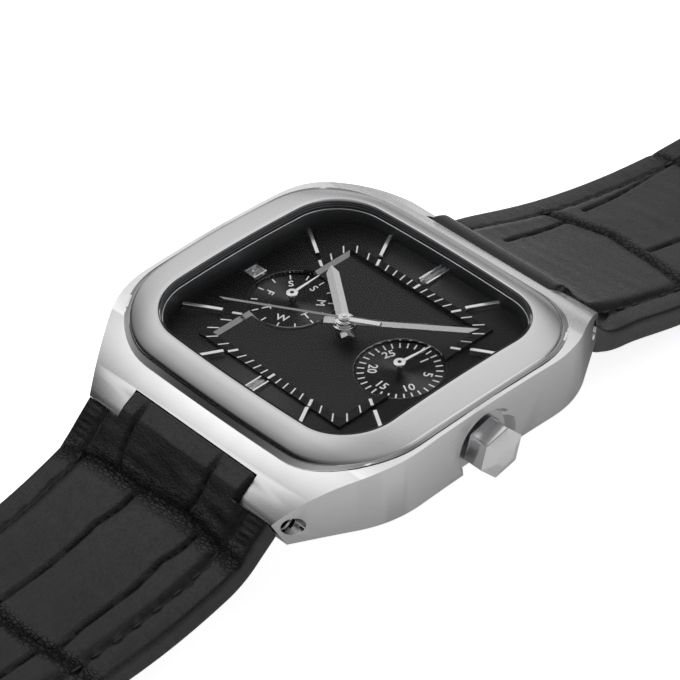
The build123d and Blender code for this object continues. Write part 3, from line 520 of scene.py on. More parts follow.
def round_place(tree, centre_x, around_scale, outward_scale):
    """Angle and distance from an upright axis, stretched for a noise, the unit way outward and the distance."""
    flat = vector(tree, "MULTIPLY", vector(tree, "SUBTRACT", bare_place(tree), (centre_x * MM, 0, 0))[0], (1, 1, 0))[0]
    place = parts(tree, flat)
    angle = maths(tree, "ARCTAN2", place["Y"], place["X"])
    reach = vector(tree, "LENGTH", flat)["Value"]
    joined = add(tree, "CombineXYZ", {"X": maths(tree, "MULTIPLY", angle, around_scale),
                                      "Y": maths(tree, "MULTIPLY", reach, outward_scale * 1000)})
    return joined.outputs[0], vector(tree, "NORMALIZE", flat)[0], reach


def square_reach(tree):
    """Distance from the dial's middle along X or Y, whichever is more, in metres."""
    place = parts(tree, bare_place(tree))
    return maths(tree, "MAXIMUM", maths(tree, "ABSOLUTE", place["X"]), maths(tree, "ABSOLUTE", place["Y"]))


def choose(tree, mask, first, second, kind="FLOAT"):
    """Second where the mask is one, first where it is zero."""
    slots, out = ((4, 5), 1) if kind == "VECTOR" else ((2, 3), 0)
    return add(tree, "Mix", {"Factor": mask, slots[0]: first, slots[1]: second}, data_type=kind).outputs[out]


def steep(tree, part, power):
    """Size of a vector's part, raised to a power."""
    return maths(tree, "POWER", maths(tree, "ABSOLUTE", part), power)


ROUND_X = 7.6
ROUND_RADIUS = 4.4
PANEL_HALF = 9.05


def dial_finish():
    """Black dial: sunray rim with a painted sheen toward twelve and six, panel brushed from six to twelve, rounds
    turned in fine circles with a painted sheen at their left and right.
    """
    looks = (("Normal", "VECTOR"), ("Roughness", "FLOAT"), ("Shade", "FLOAT"))
    material, tree = finish("black_dial", Metallic=0.85)
    ray_place, ray_out, _ = round_place(tree, 0, 60, 0.02)
    sun = brush(tree, ray_place, vector(tree, "CROSS_PRODUCT", ray_out, (0, 0, 1))[0], 0.42, 0.34)
    panel = brush(tree, object_place(tree, (14, 0.5, 1)), (1, 0, 0), 0.24, 0.42)
    inside = maths(tree, "LESS_THAN", square_reach(tree), PANEL_HALF * MM)
    # Painted sheen: the rim lightens toward twelve and six.
    painted_ray_sheen = maths(tree, "MULTIPLY_ADD", steep(tree, parts(tree, ray_out)["Y"], 5), 0.045, 0.005)
    tone = choose(tree, inside, painted_ray_sheen, 0.026)
    look = {label: choose(tree, inside, sun[label], panel[label], kind) for label, kind in looks}
    for x in (-ROUND_X, ROUND_X):
        lines, outward, reach = round_place(tree, x, 0.4, 16)
        made = brush(tree, lines, outward, 0.5, 0.36)
        mask = maths(tree, "LESS_THAN", reach, (ROUND_RADIUS + 0.001) * MM)
        # Painted sheen: each round lightens at its left and right.
        painted_round_sheen = maths(tree, "MULTIPLY_ADD", steep(tree, parts(tree, outward)["X"], 7), 0.06, 0.007)
        tone = choose(tree, mask, tone, painted_round_sheen)
        look = {label: choose(tree, mask, look[label], made[label], kind) for label, kind in looks}
    return dress(material, Base_Color=scaled(tree, (1, 1, 1), maths(tree, "MULTIPLY", tone, look["Shade"])),
                 Roughness=look["Roughness"], Normal=look["Normal"])


def grooved_black(pitch=0.19):
    """Black track with fine grooves along its sides."""
    material, tree = finish("black_track", Metallic=0.6, Roughness=0.32)
    wave = maths(tree, "SINE", maths(tree, "MULTIPLY", square_reach(tree), 2 * pi * 1000 / pitch))
    level = maths(tree, "MULTIPLY_ADD", wave, 0.5, 0.5)
    return dress(material, Base_Color=ramp(tree, level, (0.0, 0.004), (1.0, 0.035)),
                 Normal=bumped(tree, wave, 0.9, 0.00005))


def shaded_wall():
    """Black inner ring with a painted reflection: grey at the crystal, fading to black at the dial, with a faint
    mottle.
    """
    material, tree = finish("black_rehaut", Metallic=0.3, Roughness=0.28)
    height = maths(tree, "SUBTRACT", parts(tree, object_place(tree))["Z"], 6.0)
    cloud = maths(tree, "MULTIPLY_ADD", mottle(tree, 0.8, 3.0, (1, 1, 5)), 0.2, -0.1)
    # Painted reflection: the ring lightens from the dial up to the crystal.
    level = maths(tree, "MULTIPLY_ADD", height, 0.45, cloud)
    return dress(material, Base_Color=ramp(tree, level, (0.05, (0.006, 0.006, 0.007)), (0.5, (0.035, 0.036, 0.039)),
                                           (0.95, (0.12, 0.123, 0.13))))


def ground_edge():
    """Crystal's ground rim: dark grey with finer and lighter lines along it."""
    material, tree = finish("crystal_edge", Metallic=0.4, Roughness=0.3)
    place = parts(tree, bare_place(tree))
    level = maths(tree, "MULTIPLY_ADD", maths(tree, "MULTIPLY", place["Y"], place["Y"]), ARCH * 1000, place["Z"])
    lines = add(tree, "TexNoise", {"W": maths(tree, "MULTIPLY", level, 4200), "Scale": 1.0, "Detail": 4.0},
                noise_dimensions="1D").outputs[0]
    return dress(material, Base_Color=ramp(tree, lines, (0.35, (0.03, 0.031, 0.034)), (0.5, (0.09, 0.092, 0.1)),
                                           (0.68, (0.32, 0.325, 0.34))))


def leather(name, dark, light, roughness, depth, pores):
    """Dyed leather with grain, pores and sheen."""
    material, tree = finish(name, Coat_Weight=0.04, Coat_Roughness=0.3, Specular_IOR_Level=0.34)
    made = add(tree, "Group", {"Pores": pores, "Roughness": roughness}, node_tree=hide).outputs
    return dress(material, Base_Color=ramp(tree, made["Dye"], (0.35, dark), (0.95, light)),
                 Roughness=made["Roughness"], Normal=bumped(tree, made["Height"], 0.8, depth * MM))


def scaled_leather(name, dark, light):
    """Embossed leather: painted shade darkens the creases and the gaps of the crumpled nets, wrinkled beside them,
    glazed on the scales.
    """
    material, tree = finish(name, Coat_Weight=0.06, Coat_Roughness=0.25, Specular_IOR_Level=0.30)
    made = add(tree, "Group", {"Pores": 0.12, "Roughness": 0.34}, node_tree=hide).outputs
    crease, crumple = (add(tree, "Attribute", attribute_name=label).outputs["Fac"] for label in STRAP_MARKS)
    across = add(tree, "TexNoise", {"Vector": object_place(tree, (0.45, 2.0, 2.0)), "Scale": 1.0, "Detail": 4.0,
                                    "Roughness": 0.6, "Distortion": 0.5}).outputs[0]
    tangle = add(tree, "TexVoronoi", {"Vector": object_place(tree, (0.8, 1.3, 1.3)), "Scale": 1.9},
                 feature="DISTANCE_TO_EDGE").outputs["Distance"]
    nets = ramp(tree, tangle, (0.0, 0.0), (0.14, 1.0))
    rough = maths(tree, "MULTIPLY_ADD", maths(tree, "POWER", crumple, 1.6), 0.95, 0.05)
    wrinkle = maths(tree, "MULTIPLY", maths(tree, "ADD", across, maths(tree, "MULTIPLY", nets, 0.5)), rough)
    height = maths(tree, "MULTIPLY_ADD", made["Height"], 0.04, wrinkle)
    # Painted shade: colour darkened in the creases and in the gaps of the crumpled nets.
    painted_gap_shade = maths(tree, "MULTIPLY", maths(tree, "SUBTRACT", 1, nets), maths(tree, "POWER", crumple, 2.5))
    shade = maths(tree, "SUBTRACT", 1, maths(tree, "MULTIPLY", maths(tree, "MAXIMUM", crease, painted_gap_shade), 0.88))
    dye = ramp(tree, made["Dye"], (0.35, dark), (0.95, light))
    return dress(material, Base_Color=scaled(tree, dye, shade), Normal=bumped(tree, height, 1.0, 0.00026),
                 Roughness=maths(tree, "MULTIPLY_ADD", crease, 0.25, made["Roughness"]))


def clear_glass():
    """Coated crystal: nearly clear from above, brighter at a low angle."""
    material, tree = finish("sapphire_glass", Roughness=0.02, Metallic=1.0, Base_Color=(0.85, 0.88, 0.92, 1))
    edge = add(tree, "Fresnel", {"IOR": 1.35}).outputs[0]
    haze = maths(tree, "MULTIPLY", mottle(tree, 0.2), 0.004)
    return dress(material, Alpha=maths(tree, "MULTIPLY_ADD", edge, 0.12, haze))


def cut_stone():
    """Clear cut stone with a faint cool mottle."""
    material, tree = finish("clear_stone", Roughness=0.03, IOR=1.7, Transmission_Weight=0.85)
    return dress(material, Base_Color=ramp(tree, mottle(tree, 1.5), (0.3, (0.9, 0.93, 0.96)), (0.7, (1, 1, 1))))


ARCH = 0.0037
STRAP_MARKS = ("crease", "crumple")

satin = linear_steel("satin_steel", 0.87, 0.26, 0.05, (1, 0, 0), (16, 0.4, 16))
# Flank steel, brushed upright; its tone below the top's and its fade toward the foot and twelve are painted shade.
flank_satin = linear_steel("flank_steel", 0.72, 0.30, 0.10, (0, 0, 1), (0.35, 0.35, 12), low=0.66)
bezel_satin = rolled_steel("bezel_steel", 0.78, 0.24)
# A darker copy of polished steel for the bezel's outward flank: painted shade.
painted_shade_bezel_side = smooth_metal("painted_shade_bezel_side", (0.50, 0.50, 0.51), 0.12)
back_satin = linear_steel("back_steel", 0.72, 0.33, 0.16, (0, 1, 0), (0.3, 9, 9))
polished = smooth_metal("polished_steel", (0.88, 0.88, 0.89), 0.07)
hand_steel = smooth_metal("hand_steel", (0.86, 0.86, 0.87), 0.16)
plain_steel = smooth_metal("plain_steel", (0.55, 0.55, 0.56), 0.35, 0.08, 9)
cell_steel = smooth_metal("cell_steel", (0.62, 0.62, 0.60), 0.25, 0.05)
brass = smooth_metal("movement_brass", (0.72, 0.58, 0.36), 0.3, 0.06, 9)
copper = smooth_metal("coil_copper", (0.75, 0.36, 0.2), 0.3, 0.3, 14)
dial_black = dial_finish()
track_black = grooved_black()
rehaut_black = shaded_wall()
edge_grey = ground_edge()
rubber = gasket_rubber("black_rubber", 0.012, 0.55)
holder_plastic = plain_colour("holder_plastic", (0.62, 0.62, 0.58), 0.5)
circuit_green = plain_colour("circuit_green", (0.02, 0.16, 0.07), 0.45)
print_white = plain_colour("print_white", (0.86, 0.86, 0.85), 0.55)
glass = clear_glass()
stone = cut_stone()
croc = scaled_leather("black_leather", (0.004, 0.004, 0.0044), (0.009, 0.009, 0.0098))
edge_paint = leather("strap_edge", (0.02, 0.02, 0.022), (0.035, 0.035, 0.037), 0.4, 0.03, 0.1)
lining = leather("dark_lining", (0.022, 0.02, 0.019), (0.04, 0.037, 0.035), 0.6, 0.04, 0.6)
thread = plain_colour("black_thread", (0.012, 0.012, 0.013), 0.6, 12)
crown_satin = linear_steel("crown_steel", 0.74, 0.12, 0.03, (0, 1, 0), (0.4, 10, 10))
keeper_leather = leather("keeper_leather", (0.008, 0.008, 0.009), (0.022, 0.022, 0.024), 0.46, 0.04, 0.5)


# Case, bezel and crystal

TOP_LEVEL, TOP_RADIUS, TOP_HALF = 8.4, 150, 11
SHOULDER_Y, SHOULDER_Z, SHOULDER_RADIUS = 9.753, -8.958, 17
DIAL_LEVEL = 6.02
CRYSTAL_TOP = 9.22


def case_top(y):
    """Height of the case's upper side at one place along the watch."""
    if abs(y) < TOP_HALF:
        return TOP_LEVEL - TOP_RADIUS + sqrt(TOP_RADIUS ** 2 - y * y)
    return SHOULDER_Z + sqrt(SHOULDER_RADIUS ** 2 - (abs(y) - SHOULDER_Y) ** 2)


def bezel_heights(y):
    """Heights of the bezel's inner edge, top outer edge and seam at one place along the watch."""
    return 9.31 - ARCH * y * y, 8.77 - 0.0036 * y * y, case_top(y) + 0.09


def make_bezel():
    """Ring with rounded edges, whose top rolls down at six and twelve, and a flank down to the case."""
    inner = outline(15.08, 13.84, 0.0, 0.5, 5.65)
    outer = outline(18.54, 16.55, 0.62, 0.62, 8.3)
    seam = outline(18.8, 17.1, 0.35, 0.3, 9.0)
    tuck = outline(18.6, 16.9, 0.35, 0.3, 8.9)
    edge_round, width, end_reach, roll_angle = 0.3, 3.1, 16.2, radians(68)
    rows = []

    def row(first, second, at, low, high, drop):
        points = []
        for (x, y), (u, v) in zip(first, second):
            px, py = x + (u - x) * at, y + (v - y) * at
            heights = bezel_heights(py)
            end_share = min(abs(v) / end_reach, 1) ** 4 if first is inner else 0
            sag = end_share * max(at - 0.2, 0) ** 2
            level = heights[low] + (heights[high] - heights[low]) * at - drop - sag
            # The fourth value is the painted shade mark: it grows outward across the top, and more at six and twelve.
            points.append((px, py, level, at * 0.2 * (1 - end_share) + end_share * (0.35 + 0.65 * at)))
        rows.append(points)

    for drop in (1.9, 0.8):
        row(inner, outer, 0, 0, 1, drop)
    for step in range(6):
        angle = radians(18 * step)
        row(inner, outer, edge_round * (1 - cos(angle)) / width, 0, 1, edge_round * (1 - sin(angle)))
    for step in range(9):
        row(inner, outer, 0.18 + 0.08 * step, 0, 1, 0)
    for step in range(9):
        angle = roll_angle * step / 8
        left = max(edge_round * (1 - sin(angle) / sin(roll_angle)) / width, 1e-6)
        row(inner, outer, 1 - left, 0, 1, edge_round * (1 - cos(angle)) * 0.62)
    edge_row = rows[-1]
    # The flank from the edge down to the seam carries the full painted shade mark.
    for share in (0.25, 0.5, 0.75, 0.92):
        rows.append([(x + (u - x) * share, y + (v - y) * share, edge[2] + (bezel_heights(v)[2] - edge[2]) * share, 1.0)
                     for (x, y), (u, v), edge in zip(outer, seam, edge_row)])
    for first, second, at, drop in ((seam, seam, 0, 0), (seam, tuck, 0.5, 0.01), (tuck, tuck, 0, 0.02),
                                    (tuck, tuck, 0, 0.7)):
        row(first, second, at, 2, 2, drop)
    bm = bmesh.new()
    ring_body(bm, rows, [bm.verts.layers.float.new("painted_roll_shade")])
    close_ring(bm)
    made = piece("bezel_ring", bm, "case", [bezel_satin, polished, painted_shade_bezel_side], ["bezel"], 40)
    # Steep faces below the inner edge: the inner wall is polished, and the outward flank gets the darker copy as
    # painted shade.
    for face in made.data.polygons:
        x, y, z = face.center / MM
        if face.normal.z < 0.5 and z < bezel_heights(y)[0] - 0.1:
            face.material_index = 2 if face.normal.x * x + face.normal.y * y > 0 else 1


def wall_loop(half_x, height):
    """Loop round the inside of the opening; it follows the crystal's arch at the top and is level at the dial."""
    arch = ARCH * max(0.0, min((height - DIAL_LEVEL) / 2.2, 1.0))
    return [(x, y, height - arch * y * y) for x, y in outline(half_x, half_x - 1.24, 0.0, 0.5, half_x - 9.43)]


def make_crystal():
    """Arched glass plate with a ground edge, over the inner wall and a thin bright seat line."""
    bm = bmesh.new()
    rim = outline(14.98, 13.74, 0.0, 0.5, 5.55)
    first = ring_body(bm, [[(x, y, CRYSTAL_TOP - ARCH * y * y) for x, y in rim]])
    bmesh.ops.triangle_fill(bm, edges=edges_of(first), use_beauty=True)
    bmesh.ops.subdivide_edges(bm, edges=[e for e in bm.edges if len(e.link_faces) == 2], cuts=2, use_grid_fill=True)
    for vert in bm.verts:
        vert.co.z = CRYSTAL_TOP - ARCH * vert.co.y ** 2
    bmesh.ops.recalc_face_normals(bm, faces=bm.faces)
    if sum(face.normal.z for face in bm.faces) < 0:
        bmesh.ops.reverse_faces(bm, faces=bm.faces)
    piece("crystal_plate", bm, "case", glass, ["crystal"], 60, closed=False)
    edge = ((14.98, 9.19), (14.93, 9.12), (14.83, 8.25), (14.98, 8.25))
    wall = ((14.95, 8.23), (14.82, 8.23), (14.76, 8.15), (14.62, DIAL_LEVEL), (14.95, DIAL_LEVEL))
    line = [(14.82 + 0.06 * cos(radians(60 * step)), 8.24 + 0.06 * sin(radians(60 * step))) for step in range(6)]
    for name, steps, material, replaced, slot, smooth in (
            ("crystal_edge_ring", edge, edge_grey, ["crystal_gasket"], "black_rubber", 30),
            ("rehaut_wall", wall, rehaut_black, ["rehaut_ring"], "black_rehaut", 30),
            ("crystal_seat_line", line, polished, (), "polished_steel", 70)):
        bm = bmesh.new()
        ring_body(bm, [wall_loop(*step) for step in steps])
        close_ring(bm)
        piece(name, bm, "case", material, replaced, smooth)


def make_middle():
    """Case middle with broken edges; its flank is brushed, its upper side satin."""
    bm = node_copy("mid_case", 0.11, 30)
    made = piece("case_middle", bm, "case", [satin, flank_satin, polished], ["mid_case"], 25, 1,
                 closed=False)
    for face in made.data.polygons:
        aside, slope = abs(face.center.x / MM), abs(face.normal.z)
        if slope < 0.35 and aside > 9.2:
            face.material_index = 1
        if face.area < 0.4 * MM * MM and 0.3 < slope < 0.95 and aside > 9:
            face.material_index = 2


# Dial and hands

TRACK_TOP = 6.3
ROUND_FLOOR = 5.7
MARKER_FOOT = 6.05
PAIR_Y = 11.95
NINE_X = -13.05


def lettering(bm, text, size, centre, turn):
    """Printed letters or numbers, upright when turn is zero; turn is clockwise in degrees."""
    curve = bpy.data.curves.new("print", "FONT")
    curve.body = text
    curve.size = size
    curve.align_x = "CENTER"
    curve.align_y = "CENTER"
    curve.extrude = 0.01
    curve.offset = 0.012 * size
    curve.resolution_u = 3
    carrier = bpy.data.objects.new("print", curve)
    bpy.context.scene.collection.objects.link(carrier)
    bpy.context.view_layer.update()
    mesh = bpy.data.meshes.new_from_object(carrier.evaluated_get(bpy.context.evaluated_depsgraph_get()))
    count = len(bm.verts)
    bm.from_mesh(mesh)
    bm.verts.ensure_lookup_table()
    turned(bm, bm.verts[count:], spin(-turn), centre)
    bpy.data.objects.remove(carrier)
    bpy.data.meshes.remove(mesh)


def around(angle, radius, centre_x=0.0):
    """Place at a clock angle in degrees from a centre on the dial."""
    return centre_x + radius * sin(radians(angle)), radius * cos(radians(angle))


def make_printing():
    """Minute marks on the track, and the letters, numbers and marks in the two rounds."""
    bm = bmesh.new()
    for minute in range(60):
        angle = radians(minute * 6)
        side = max(abs(sin(angle)), abs(cos(angle)))
        near, far = 9.08 / side, 9.94 / side
        x, y = sin(angle) * near, cos(angle) * near
        if min(abs(x - ROUND_X), abs(x + ROUND_X)) < 3 and sqrt((abs(x) - ROUND_X) ** 2 + y * y) < ROUND_RADIUS + 0.05:
            continue
        half = 0.15 if minute % 5 == 0 else 0.07
        bar = block(bm, (-half, near, TRACK_TOP - 0.01), (half, far, TRACK_TOP + 0.02))
        turned(bm, bar, spin(-minute * 6))
    days = [(k * 360 / 7, letter) for k, letter in enumerate("SMTWTFS")]
    dates = [(number * 360 / 31, str(number)) for number in (1, 5, 10, 15, 20, 25)]
    for x, count, first, half, near, far, size, reach, labels in (
            (-ROUND_X, 14, 0, 0.07, 3.5, 4.15, 1.25, 2.75, days),
            (ROUND_X, 31, 1, 0.075, 3.42, 4.12, 1.3, 2.68, dates)):
        for step in range(count):
            bar = block(bm, (-half, near, ROUND_FLOOR), (half, far, ROUND_FLOOR + 0.02))
            turned(bm, bar, spin(-(step + first) * 360 / count), (x, 0, 0))
        for angle, label in labels:
            place = (*around(angle, reach, x), ROUND_FLOOR + 0.01)
            lettering(bm, label, size, place, angle + (180 if 90 < angle < 270 else 0))
    bmesh.ops.remove_doubles(bm, verts=bm.verts, dist=1e-4)
    piece("dial_printing", bm, "case", print_white, smooth=None)


def bar_marker(bm, length, width, height, crest):
    """Bar with two sloping sides and ends under a narrow crest, along Y at the origin."""
    verts = block(bm, (-width / 2, -length / 2, 0), (width / 2, length / 2, height))
    for vert in verts:
        if vert.co.z > height / 2:
            vert.co.x *= crest
            vert.co.y *= 1 - 0.25 * width / length
    return verts


def make_markers():
    """Applied hour bars; twelve and six are a pair with a long clear stone between, nine a framed square stone."""
    bm, stones = bmesh.new(), bmesh.new()
    foot = MARKER_FOOT
    for hour in (1, 2, 4, 5, 7, 8, 10, 11):
        length, centre = (4.3, 14.5) if hour in (2, 4, 8, 10) else (3.6, 13.6)
        verts = moved(bm, bar_marker(bm, length, 0.66, 0.5, 0.6), (0, centre, foot))
        turned(bm, verts, spin(-30 * hour))
    for side in (-1, 1):
        for x in (-0.525, 0.525):
            moved(bm, bar_marker(bm, 3.3, 0.36, 0.5, 0.5), (x, side * PAIR_Y, foot))
        moved(stones, bar_marker(stones, 3.1, 0.62, 0.5, 0.45), (0, side * PAIR_Y, foot))
        x, y = NINE_X + side * 0.73, side * 0.73
        block(bm, (x - 0.1, -0.83, foot), (x + 0.1, 0.83, foot + 0.5))
        block(bm, (NINE_X - 0.65, y - 0.1, foot), (NINE_X + 0.65, y + 0.1, foot + 0.5))
    turned(stones, disc(stones, 0.98, 0.1, 0.55, 4, 0.5), spin(45), (NINE_X, 0, foot + 0.2))
    soften(bm, [e for e in bm.edges if e.calc_length() > 0.3], 0.025, 1)
    soften(stones, list(stones.edges), 0.07, 1)
    piece("hour_bars", bm, "case", hand_steel, ["hour_markers"], 15)
    piece("marker_gems", stones, "case", stone, ["marker_stones"], 15)


def hand_blade(bm, length, width, tip, tail, tail_width, height, thick):
    """Faceted hand along +Y: a ridge down its middle, a pointed tip and a square tail."""
    start = -tail if tail_width == width else -0.3
    verts = block(bm, (-width / 2, start, 0), (width / 2, length - tip, thick))
    ends = [v for v in verts if v.co.y > length / 2]
    end = [face for face in bm.faces if all(vert in ends for vert in face.verts)]
    made = bmesh.ops.extrude_face_region(bm, geom=end)["geom"]
    bmesh.ops.delete(bm, geom=end, context="FACES_ONLY")
    for vert in verts_of(made):
        vert.co.x, vert.co.y = 0.0, length
    if tail_width != width:
        block(bm, (-tail_width / 2, -tail, 0), (tail_width / 2, -0.2, thick))
    bmesh.ops.remove_doubles(bm, verts=bm.verts, dist=1e-4)
    bmesh.ops.bisect_plane(bm, geom=list(bm.verts) + list(bm.edges) + list(bm.faces), dist=1e-5,
                           plane_co=(0, 0, 0), plane_no=(1, 0, 0))
    for vert in bm.verts:
        if vert.co.z > thick / 2 and abs(vert.co.x) < 1e-4:
            vert.co.z = thick
        elif vert.co.z > thick / 2:
            vert.co.z = thick * 0.15
    bmesh.ops.translate(bm, verts=bm.verts, vec=(0, 0, height))


def make_hand(name, node, body, angle, length, width, tip, tail, tail_width, height, collar, thick=0.18):
    """Ridged hand on a round collar, turned clockwise by an angle in degrees."""
    bm = bmesh.new()
    hand_blade(bm, length, width, tip, tail, tail_width, height, thick)
    ring = disc(bm, collar, height - 0.02, height + thick + 0.03, 40)
    soften(bm, edges_above(ring, height + thick), 0.04, 2)
    turned(bm, bm.verts, spin(-angle))
    piece(name, bm, body, hand_steel, [node], 18)


def make_small_hand(name, node, x, angle):
    """Slim tapering pointer on a ring hub with a dark eye."""
    bm = bmesh.new()
    low, high = 6.6, 6.78
    verts = block(bm, (-0.21, 0.3, low), (0.21, 3.7, high))
    for vert in verts:
        if vert.co.y > 2:
            vert.co.x *= 0.4
    soften(bm, [edge for edge in edges_above(verts, 6.7) if edge.calc_length() > 1], 0.06, 2)
    soften(bm, edges_above(disc(bm, 0.63, low - 0.02, high + 0.06, 40), high), 0.09, 3)
    turned(bm, bm.verts, spin(-angle), (x, 0, 0))
    piece(name, bm, node, hand_steel, [node], 30)
    bm = bmesh.new()
    moved(bm, disc(bm, 0.2, high, high + 0.075, 24), (x, 0, 0))
    piece(name + "_eye", bm, node, track_black, smooth=30)


def make_hub():
    """Stepped polished bosses round the three centre arbors."""
    for name, body, rings, segments, edge in (
            ("hour_boss", "hour_hand", ((1.0, 6.75, 6.98), (1.18, 7.2, 7.34)), 40, 0.035),
            ("minute_boss", "minute_hand", ((0.9, 7.36, 7.5), (0.8, 7.7, 7.84)), 40, 0.035),
            ("second_cap", "second_hand", ((0.52, 8.08, 8.2), (0.3, 8.2, 8.3)), 32, 0.03)):
        bm = bmesh.new()
        for radius, low, high in rings:
            soften(bm, level_edges(disc(bm, radius, low, high, segments)), edge, 2)
        piece(name, bm, body, hand_steel, smooth=30)


def make_track_slope():
    """Polished slope from the track down to the panel, open where the rounds cut it."""
    bm = bmesh.new()
    for side in (-1, 1):
        for end in (-1, 1):
            verts = block(bm, (-0.5, 0, 5.5), (0, 4.75, 6.29))
            for vert in verts:
                if vert.co.x > -0.1 and vert.co.z > 6:
                    vert.co.z = 5.72
                if vert.co.x > -0.1 and vert.co.y > 4:
                    vert.co.y -= 0.5
                vert.co.x = side * (8.56 - vert.co.x)
                vert.co.y = end * (4.31 + vert.co.y)
    piece("track_slope", bm, "case", polished, smooth=20)


def make_round_rims():
    """Thin bright edge round each sunken round, where it shows."""
    bm = bmesh.new()
    foot, crest, segments = 5.72, 6.07, 96
    profile = [(0, foot), (0, crest - 0.07), (0.04, crest), (0.1, crest - 0.07), (0.1, foot)]
    for x in (-ROUND_X, ROUND_X):
        ring_body(bm, [[(x + (ROUND_RADIUS + out) * cos(2 * pi * k / segments),
                         (ROUND_RADIUS + out) * sin(2 * pi * k / segments), height) for k in range(segments)]
                       for out, height in profile])
        close_ring(bm)
    piece("round_rims", bm, "case", polished, smooth=60)


# Crown, screws and back


def make_crown():
    """Six sided crown with a cut cap and finely broken edges."""
    bm = bmesh.new()
    radius, cap_radius, length, cap_length = 2.7, 1.2, 2.3, 0.6
    bmesh.ops.create_circle(bm, cap_ends=True, segments=6, radius=radius)
    turned(bm, bm.verts, spin(42))
    made = bmesh.ops.extrude_face_region(bm, geom=bm.faces[:])["geom"]
    moved(bm, verts_of(made), (0, 0, length))
    cap = [item for item in made if isinstance(item, bmesh.types.BMFace)]
    made = bmesh.ops.extrude_face_region(bm, geom=cap)["geom"]
    bmesh.ops.delete(bm, geom=cap, context="FACES_ONLY")
    verts = moved(bm, verts_of(made), (0, 0, cap_length))
    bmesh.ops.scale(bm, verts=verts, vec=(cap_radius / radius, cap_radius / radius, 1))
    bmesh.ops.recalc_face_normals(bm, faces=bm.faces)
    soften(bm, list(bm.edges), 0.07, 2)
    onto = Matrix(((0, 0, 1), (1, 0, 0), (0, 1, 0)))
    turned(bm, bm.verts, onto, (18.85, 0, 3.71))
    piece("crown_cap", bm, "crown", crown_satin, ["crown"], 12)


def slotted(bm, radius, height, slot_half, slot_depth):
    """Screw head with a slot across, from the ground up along +Z."""
    disc(bm, radius, 0, height - slot_depth, 40)
    for side in (-1, 1):
        part = bmesh.new()
        verts = disc(part, radius, height - slot_depth, height, 40)
        soften(part, edges_above(verts, height - 1e-3), radius * 0.12, 2)
        bmesh.ops.bisect_plane(part, geom=part.verts[:] + part.edges[:] + part.faces[:], dist=1e-5,
                               plane_co=(side * slot_half, 0, 0), plane_no=(-side, 0, 0), clear_outer=True)
        bmesh.ops.holes_fill(part, edges=open_edges(part))
        holder = bpy.data.meshes.new("half")
        part.to_mesh(holder)
        part.free()
        bm.from_mesh(holder)
        bpy.data.meshes.remove(holder)


def add_screw(bm, radius, height, slot_turn, tilt, axis, place):
    """Slotted head with its slot turned, then tilted about an axis and moved to its place."""
    count = len(bm.verts)
    slotted(bm, radius, height, 0.13, 0.2)
    bm.verts.ensure_lookup_table()
    fresh = bm.verts[count:]
    turned(bm, fresh, spin(slot_turn))
    turned(bm, fresh, spin(tilt, axis), place)


def make_screws():
    """Slotted screws, black wells in the lug holes as painted shade, rims round them, and screws in the case back."""
    corners = [(side, end) for side in (-1, 1) for end in (-1, 1)]
    bm = bmesh.new()
    for side, end in corners:
        add_screw(bm, 0.6, 0.35, 20 + 35 * side * end, 90 * end, "Y", (end * 12.15, side * BAR_Y, BAR_Z))
    piece("lug_screw_heads", bm, "case", polished, ["lug_bar_screws"], 30)
    # A black well inside each lug hole is painted shade.
    shade_well = ((0.5, 12.1), (0.5, 12.2), (0.83, 12.2), (0.83, 12.82), (0.87, 12.82), (0.87, 12.1))
    rim = ((0.84, 12.8), (0.84, 12.93), (0.98, 12.93), (0.98, 12.8))
    for name, profile, material, slot in (("lug_hole_shade_wells", shade_well, track_black, "black_track"),
                                          ("lug_hole_rims", rim, polished, "polished_steel")):
        bm = bmesh.new()
        for side, end in corners:
            ring_body(bm, [[(end * x, side * BAR_Y + reach * cos(2 * pi * k / 40), BAR_Z + reach * sin(2 * pi * k / 40))
                            for k in range(40)] for reach, x in profile])
            close_ring(bm)
        piece(name, bm, "case", material, smooth=40)
    bm = bmesh.new()
    for end, side in corners:
        x, y = end * 13.9, side * 12.7
        add_screw(bm, 0.85, 0.46, x * 7 + y * 3, 180, "X", (x, y, 0.5))
    piece("back_screw_heads", bm, "case", polished, ["caseback_screws"], 30)


def make_back():
    """Case back with broken edges."""
    piece("back_plate", node_copy("caseback", 0.08), "case", back_satin, ["caseback"], 25, 1,
          closed=False)


# Strap


BAR_Y, BAR_Z = 19.72, 2.93
STRAP_THICK = 2.2
TONGUE_HALF = 8.6
SHOULDER_HALF, BUCKLE_HALF = 12.9, 10.0
TAPER_START, TAPER_END = 21.92, 95
SEAM_INSET = 2.9
LOOP_RADIUS = 1.7
LUG_END, LUG_LEAN = 1.42, 22.7
BLEND_S = 4.2
WALL_ROOM = 0.69
NOTCH_REACH = {-1: 2.40, 1: 1.78}
SHOULDER_FALL, FALL_LENGTH = 1.7, 5.5


